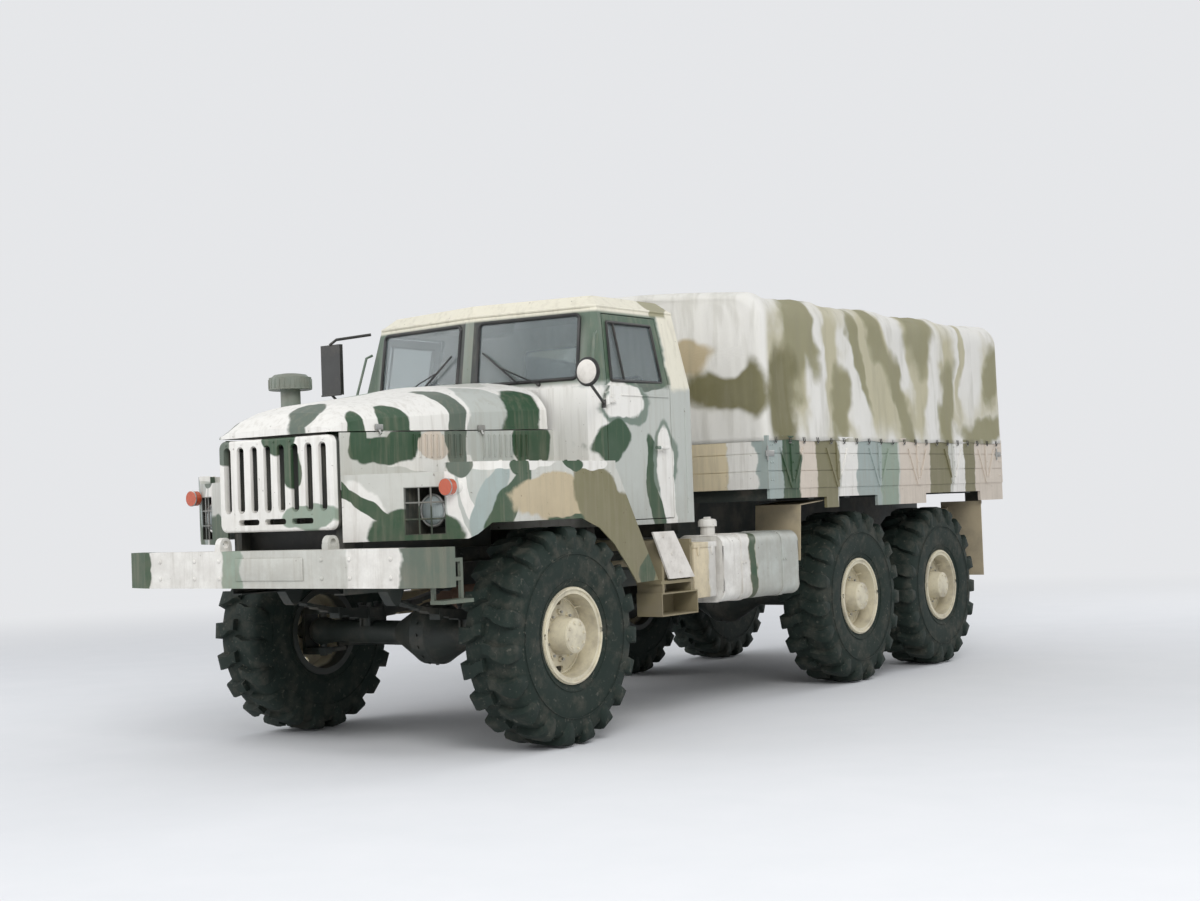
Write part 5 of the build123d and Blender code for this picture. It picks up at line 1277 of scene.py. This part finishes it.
addTurned(engine, (-0.06, -2.205, top), (0, 0, 1), (
    (0.0, 0.0), (0.0, 0.042), (0.090, 0.042), (0.096, 0.036), (0.098, 0.0)), 24)
addBox(radiator, (-0.400, -3.470, 1.140), (0.400, -3.455, 1.735), 0.002)
addRow(radiator, formOf(addBox, (-0.003, 0.0, 0.0), (0.003, 0.050, 0.600)),
       engineSizes["fins"], (-0.390, -3.455, 1.135), (0.020, 0, 0))
for low, high in ((1.730, 1.792), (1.085, 1.142)):  # its two tanks
    addBox(radiator, (-0.408, -3.478, low), (0.408, -3.392, high), 0.014)
addTurned(radiator, (0.22, -3.435, 1.790), (0, 0, 1), (
    (0.0, 0.030), (0.010, 0.030), (0.014, 0.020), (0.015, 0.0)), 24)
fanX, fanY, fanZ = engineSizes["fan"]
blade = formOf(addBox, (0.050, -0.004, -0.040), (0.262, 0.004, 0.040), 0.002,
               Matrix.Rotation(math.radians(28), 3, "X"))
addRound(radiator, blade, engineSizes["blades"], engineSizes["fan"], (0, 1, 0), 0.2)
addRod(radiator, (fanX, fanY - 0.027, fanZ), (fanX, engineSizes["front"], fanZ), 0.055, 24)
addRing(radiator, (fanX, fanY - 0.054, fanZ), (0, 1, 0), 0.285, 0.010, 48, 8)
addTube(hoses, [(0.27, -3.395, 1.755), (0.27, -3.350, 1.757), (0.24, -3.290, 1.745),
                (0.20, -3.240, 1.715), (0.20, -3.200, 1.690), (0.20, -3.170, 1.665)], 0.024, 14)
addTube(hoses, [(-0.02, -2.293, 1.722), (-0.06, -2.250, 1.735), (-0.14, -2.260, 1.745),
                (-0.26, -2.360, 1.745), (-0.40, -2.540, 1.745), (-0.49, -2.690, 1.745),
                (-0.576, -2.775, 1.745)], 0.036, 16)
finishPiece(engine, "valveCovers", "engine")
finishPiece(radiator, "radiatorAndFan", "dark")
finishPiece(hoses, "engineHoses", "dark")
print("engine bay made")

# seats: stuffed cushions on boxes
seatSizes = {
    # name: lowest corner, highest corner, lean of a back in radians
    "driverCushion": ((0.228, -1.452, 1.626), (0.732, -1.010, 1.736), 0.0),
    "driverBack": ((0.228, -1.113, 1.745), (0.732, -1.015, 2.225), 0.085),
    "benchCushion": ((-0.747, -1.452, 1.626), (0.077, -1.010, 1.736), 0.0),
    "benchBack": ((-0.747, -1.113, 1.745), (0.077, -1.015, 2.225), 0.085),
}
cushionSizes = {"voxel": 0.008, "pressure": 4.5, "frames": 16, "cap": 0.012,
                "quickVoxel": 0.02, "edge": 0.030, "channelDepth": 0.007}


def stuff(cushion, mesh):  # a short cloth run under pressure, its moves capped
    scene = bpy.context.scene
    start = [v.co.copy() for v in mesh.vertices]
    cloth = cushion.modifiers.new("stuffing", "CLOTH")
    cloth.settings.use_pressure = True
    cloth.settings.uniform_pressure_force = cushionSizes["pressure"]
    cloth.settings.effector_weights.gravity = 0.0
    cloth.settings.quality = 4
    cloth.point_cache.frame_start, cloth.point_cache.frame_end = 1, cushionSizes["frames"]
    for step in range(1, cushionSizes["frames"] + 1):
        scene.frame_set(step)
    swollen = evaluatedMesh(cushion)
    cushion.modifiers.clear()
    for vertex, was, now in zip(mesh.vertices, start, swollen.vertices):
        move = now.co - was
        if move.length > cushionSizes["cap"]:
            move = move.normalized() * cushionSizes["cap"]
        vertex.co = was + move
    bpy.data.meshes.remove(swollen)
    scene.frame_set(1)


def makeCushion(name, lo, hi, lean):
    bm = formOf(addBox, lo, hi, cushionSizes["edge"])
    pivot = Vector((0, (lo[1] + hi[1]) / 2, lo[2]))
    bmesh.ops.rotate(bm, verts=bm.verts, cent=pivot, matrix=Matrix.Rotation(-lean, 3, "X"))
    cushion = finishPiece(bm, name, "seat", angle=80)
    cushion.parent = None
    skin = cushion.modifiers.new("skin", "REMESH")
    skin.mode = "VOXEL"
    skin.voxel_size = cushionSizes["voxel"]
    skin.use_smooth_shade = True
    mesh = evaluatedMesh(cushion)
    cushion.modifiers.clear()
    cushion.data = mesh
    stuff(cushion, mesh)
    # sewn channels, pressed in after the stuffing
    across = hi[0] - lo[0]
    channels = 4 if across < 0.6 else 6
    for vertex in mesh.vertices:
        share = (vertex.co.x - lo[0]) / across * channels
        near = abs(share - round(share)) if 0 < round(share) < channels else 1.0
        press = cushionSizes["channelDepth"] * math.exp(-(near / 0.05) ** 2)
        if lean and vertex.co.y < pivot.y + 0.2:
            vertex.co.y += press * (1 if vertex.normal.y < -0.5 else 0)
        elif vertex.normal.z > 0.5:
            vertex.co.z -= press
    mesh.materials.clear()
    mesh.materials.append(looks["seat"])
    mesh.shade_smooth()
    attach(cushion, "truck_body")
    return cushion


for name, (lo, hi, lean) in seatSizes.items():
    made = makeCushion(name, lo, hi, lean)
    print("cushion", name, len(made.data.vertices))
bm = bmesh.new()
for low, high in ((0.245, 0.715), (-0.730, 0.060)):
    addBox(bm, (low, cabFront + 0.560, 1.271), (high, cabRear - 0.090, 1.612), 0.008)
    addBox(bm, (low, cabRear - 0.098, 1.60), (high, cabRear - 0.080, 2.16), 0.004)
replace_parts(finishPiece(bm, "seatBoxes", "dash"), "seats")
print("cab inside made")

# load floor planks, tow hitch bolts and its ring
floorSizes = {"planks": 12, "first": -1.19, "pitch": 0.199, "width": 0.190}
bm = bmesh.new()
for n in range(floorSizes["planks"]):
    low = floorSizes["first"] + n * floorSizes["pitch"]
    addBox(bm, (low, bedFront + 0.035, 1.4995),
           (low + floorSizes["width"], bedRear - 0.045, 1.503), 0.001)
finishPiece(bm, "floorPlanks", "wood")
bm = bmesh.new()
addRing(bm, (0, 3.676, 1.04), (0, 1, 0), 0.030, 0.007, 32, 8)
for x in (-0.085, 0.085):
    addRow(bm, boltForm((0, 1, 0), 0.011, 0.009), 2, (x, 3.6435, 0.99), (0, 0, 0.10))
finishPiece(bm, "hitchBolts", "steel")
print("frame details made")

# stage: pale floor, soft lights, camera at the photograph's place
stageSizes = {"reach": 60.0, "floorZ": -0.001, "skyColour": (0.83, 0.84, 0.86), "sky": 0.95,
              "fillColour": (0.92, 0.95, 1.0), "fill": 0.62, "fadeRadius": 11.0, "fadeSoft": 5.5}
scene = bpy.context.scene
reach, floorZ = stageSizes["reach"], stageSizes["floorZ"]
floorMesh = bpy.data.meshes.new("paleFloor")
floorMesh.from_pydata([(-reach, -reach, floorZ), (reach, -reach, floorZ),
                       (reach, reach, floorZ), (-reach, reach, floorZ)], [], [(0, 1, 2, 3)])
floor = linked("paleFloor", floorMesh)
graph = Graph("paleFloorFinish")
spot = graph.place()
grit = graph.noise(spot, 2.0, 6.0, 0.6)
ground = graph.make("ShaderNodeBsdfPrincipled", {}, {
    "Base Color": graph.blend(grit, (0.74, 0.75, 0.76), (0.80, 0.80, 0.81)),
    "Roughness": 0.9, "Specular IOR Level": 0.2})
# far off, the floor passes into the background
haze = graph.make("ShaderNodeEmission", {}, [stageSizes["skyColour"], stageSizes["sky"]])
far = graph.make("ShaderNodeVectorMath", {"operation": "LENGTH"}, [spot], out="Value")
seen = graph.make("ShaderNodeLightPath", out="Is Camera Ray")
fade = far.over(stageSizes["fadeRadius"], stageSizes["fadeSoft"]) * seen
graph.make("ShaderNodeOutputMaterial", {}, [
    graph.make("ShaderNodeMixShader", {}, [fade, ground, haze])])
floorMesh.materials.append(graph.material)

# the eye, mirrors and glass see the pale sky; the light on the truck is cooler and lower
scene.world = bpy.data.worlds.new("softSky")
graph = Graph(scene.world)
rays = [graph.make("ShaderNodeLightPath", out=kind) for kind in (
    "Is Camera Ray", "Is Glossy Ray", "Is Transmission Ray")]
seen = rays[0].math("MAXIMUM", rays[1]).math("MAXIMUM", rays[2])
fill, pale = (graph.make("ShaderNodeBackground", {}, {
    "Color": stageSizes[colour], "Strength": stageSizes[strength]})
    for colour, strength in (("fillColour", "fill"), ("skyColour", "sky")))
graph.make("ShaderNodeOutputWorld", {}, [
    graph.make("ShaderNodeMixShader", {}, [seen, fill, pale])])

lamps = {
    # place, size, power, aim
    "keyLight": ((9.0, -9.5, 9.0), 7.0, 900.0, (0, -0.5, 1.2)),
    "fillLight": ((-8.0, -9.0, 6.0), 8.0, 420.0, (0, -1.0, 1.2)),
    "backLight": ((3.0, 12.0, 8.0), 8.0, 420.0, (0, 1.0, 1.6)),
}
for name, (place, size, power, aim) in lamps.items():
    data = bpy.data.lights.new(name, "AREA")
    data.shape, data.size, data.energy = "DISK", size, power
    light = linked(name, data)
    light.matrix_world = Matrix.Translation(place) @ (
        Vector(aim) - Vector(place)).to_track_quat("-Z", "Y").to_matrix().to_4x4()

# angles in degrees, the lens in millimetres on a sensor 36 mm wide
cameraSizes = {"yaw": 36.07, "pitch": 1.79, "roll": -2.07, "place": (7.093, -10.258, 1.379),
               "focal": 1706.0 / 1200.0 * 36.0}
yaw, pitch, roll = (math.radians(cameraSizes[key]) for key in ("yaw", "pitch", "roll"))
ahead = Vector((-math.sin(yaw) * math.cos(pitch), math.cos(yaw) * math.cos(pitch),
                math.sin(pitch)))
right = Vector((math.cos(yaw), math.sin(yaw), 0.0))
up = right.cross(ahead)
across = right * math.cos(roll) + up * math.sin(roll)
above = up * math.cos(roll) - right * math.sin(roll)
lens = bpy.data.cameras.new("photoCamera")
lens.sensor_width, lens.lens, lens.clip_end = 36.0, cameraSizes["focal"], 200.0
camera = linked("photoCamera", lens)
camera.matrix_world = Matrix.Translation(cameraSizes["place"]) @ Matrix(
    (across, above, -ahead)).transposed().to_4x4()
scene.camera = camera
scene.view_settings.view_transform = "Standard"
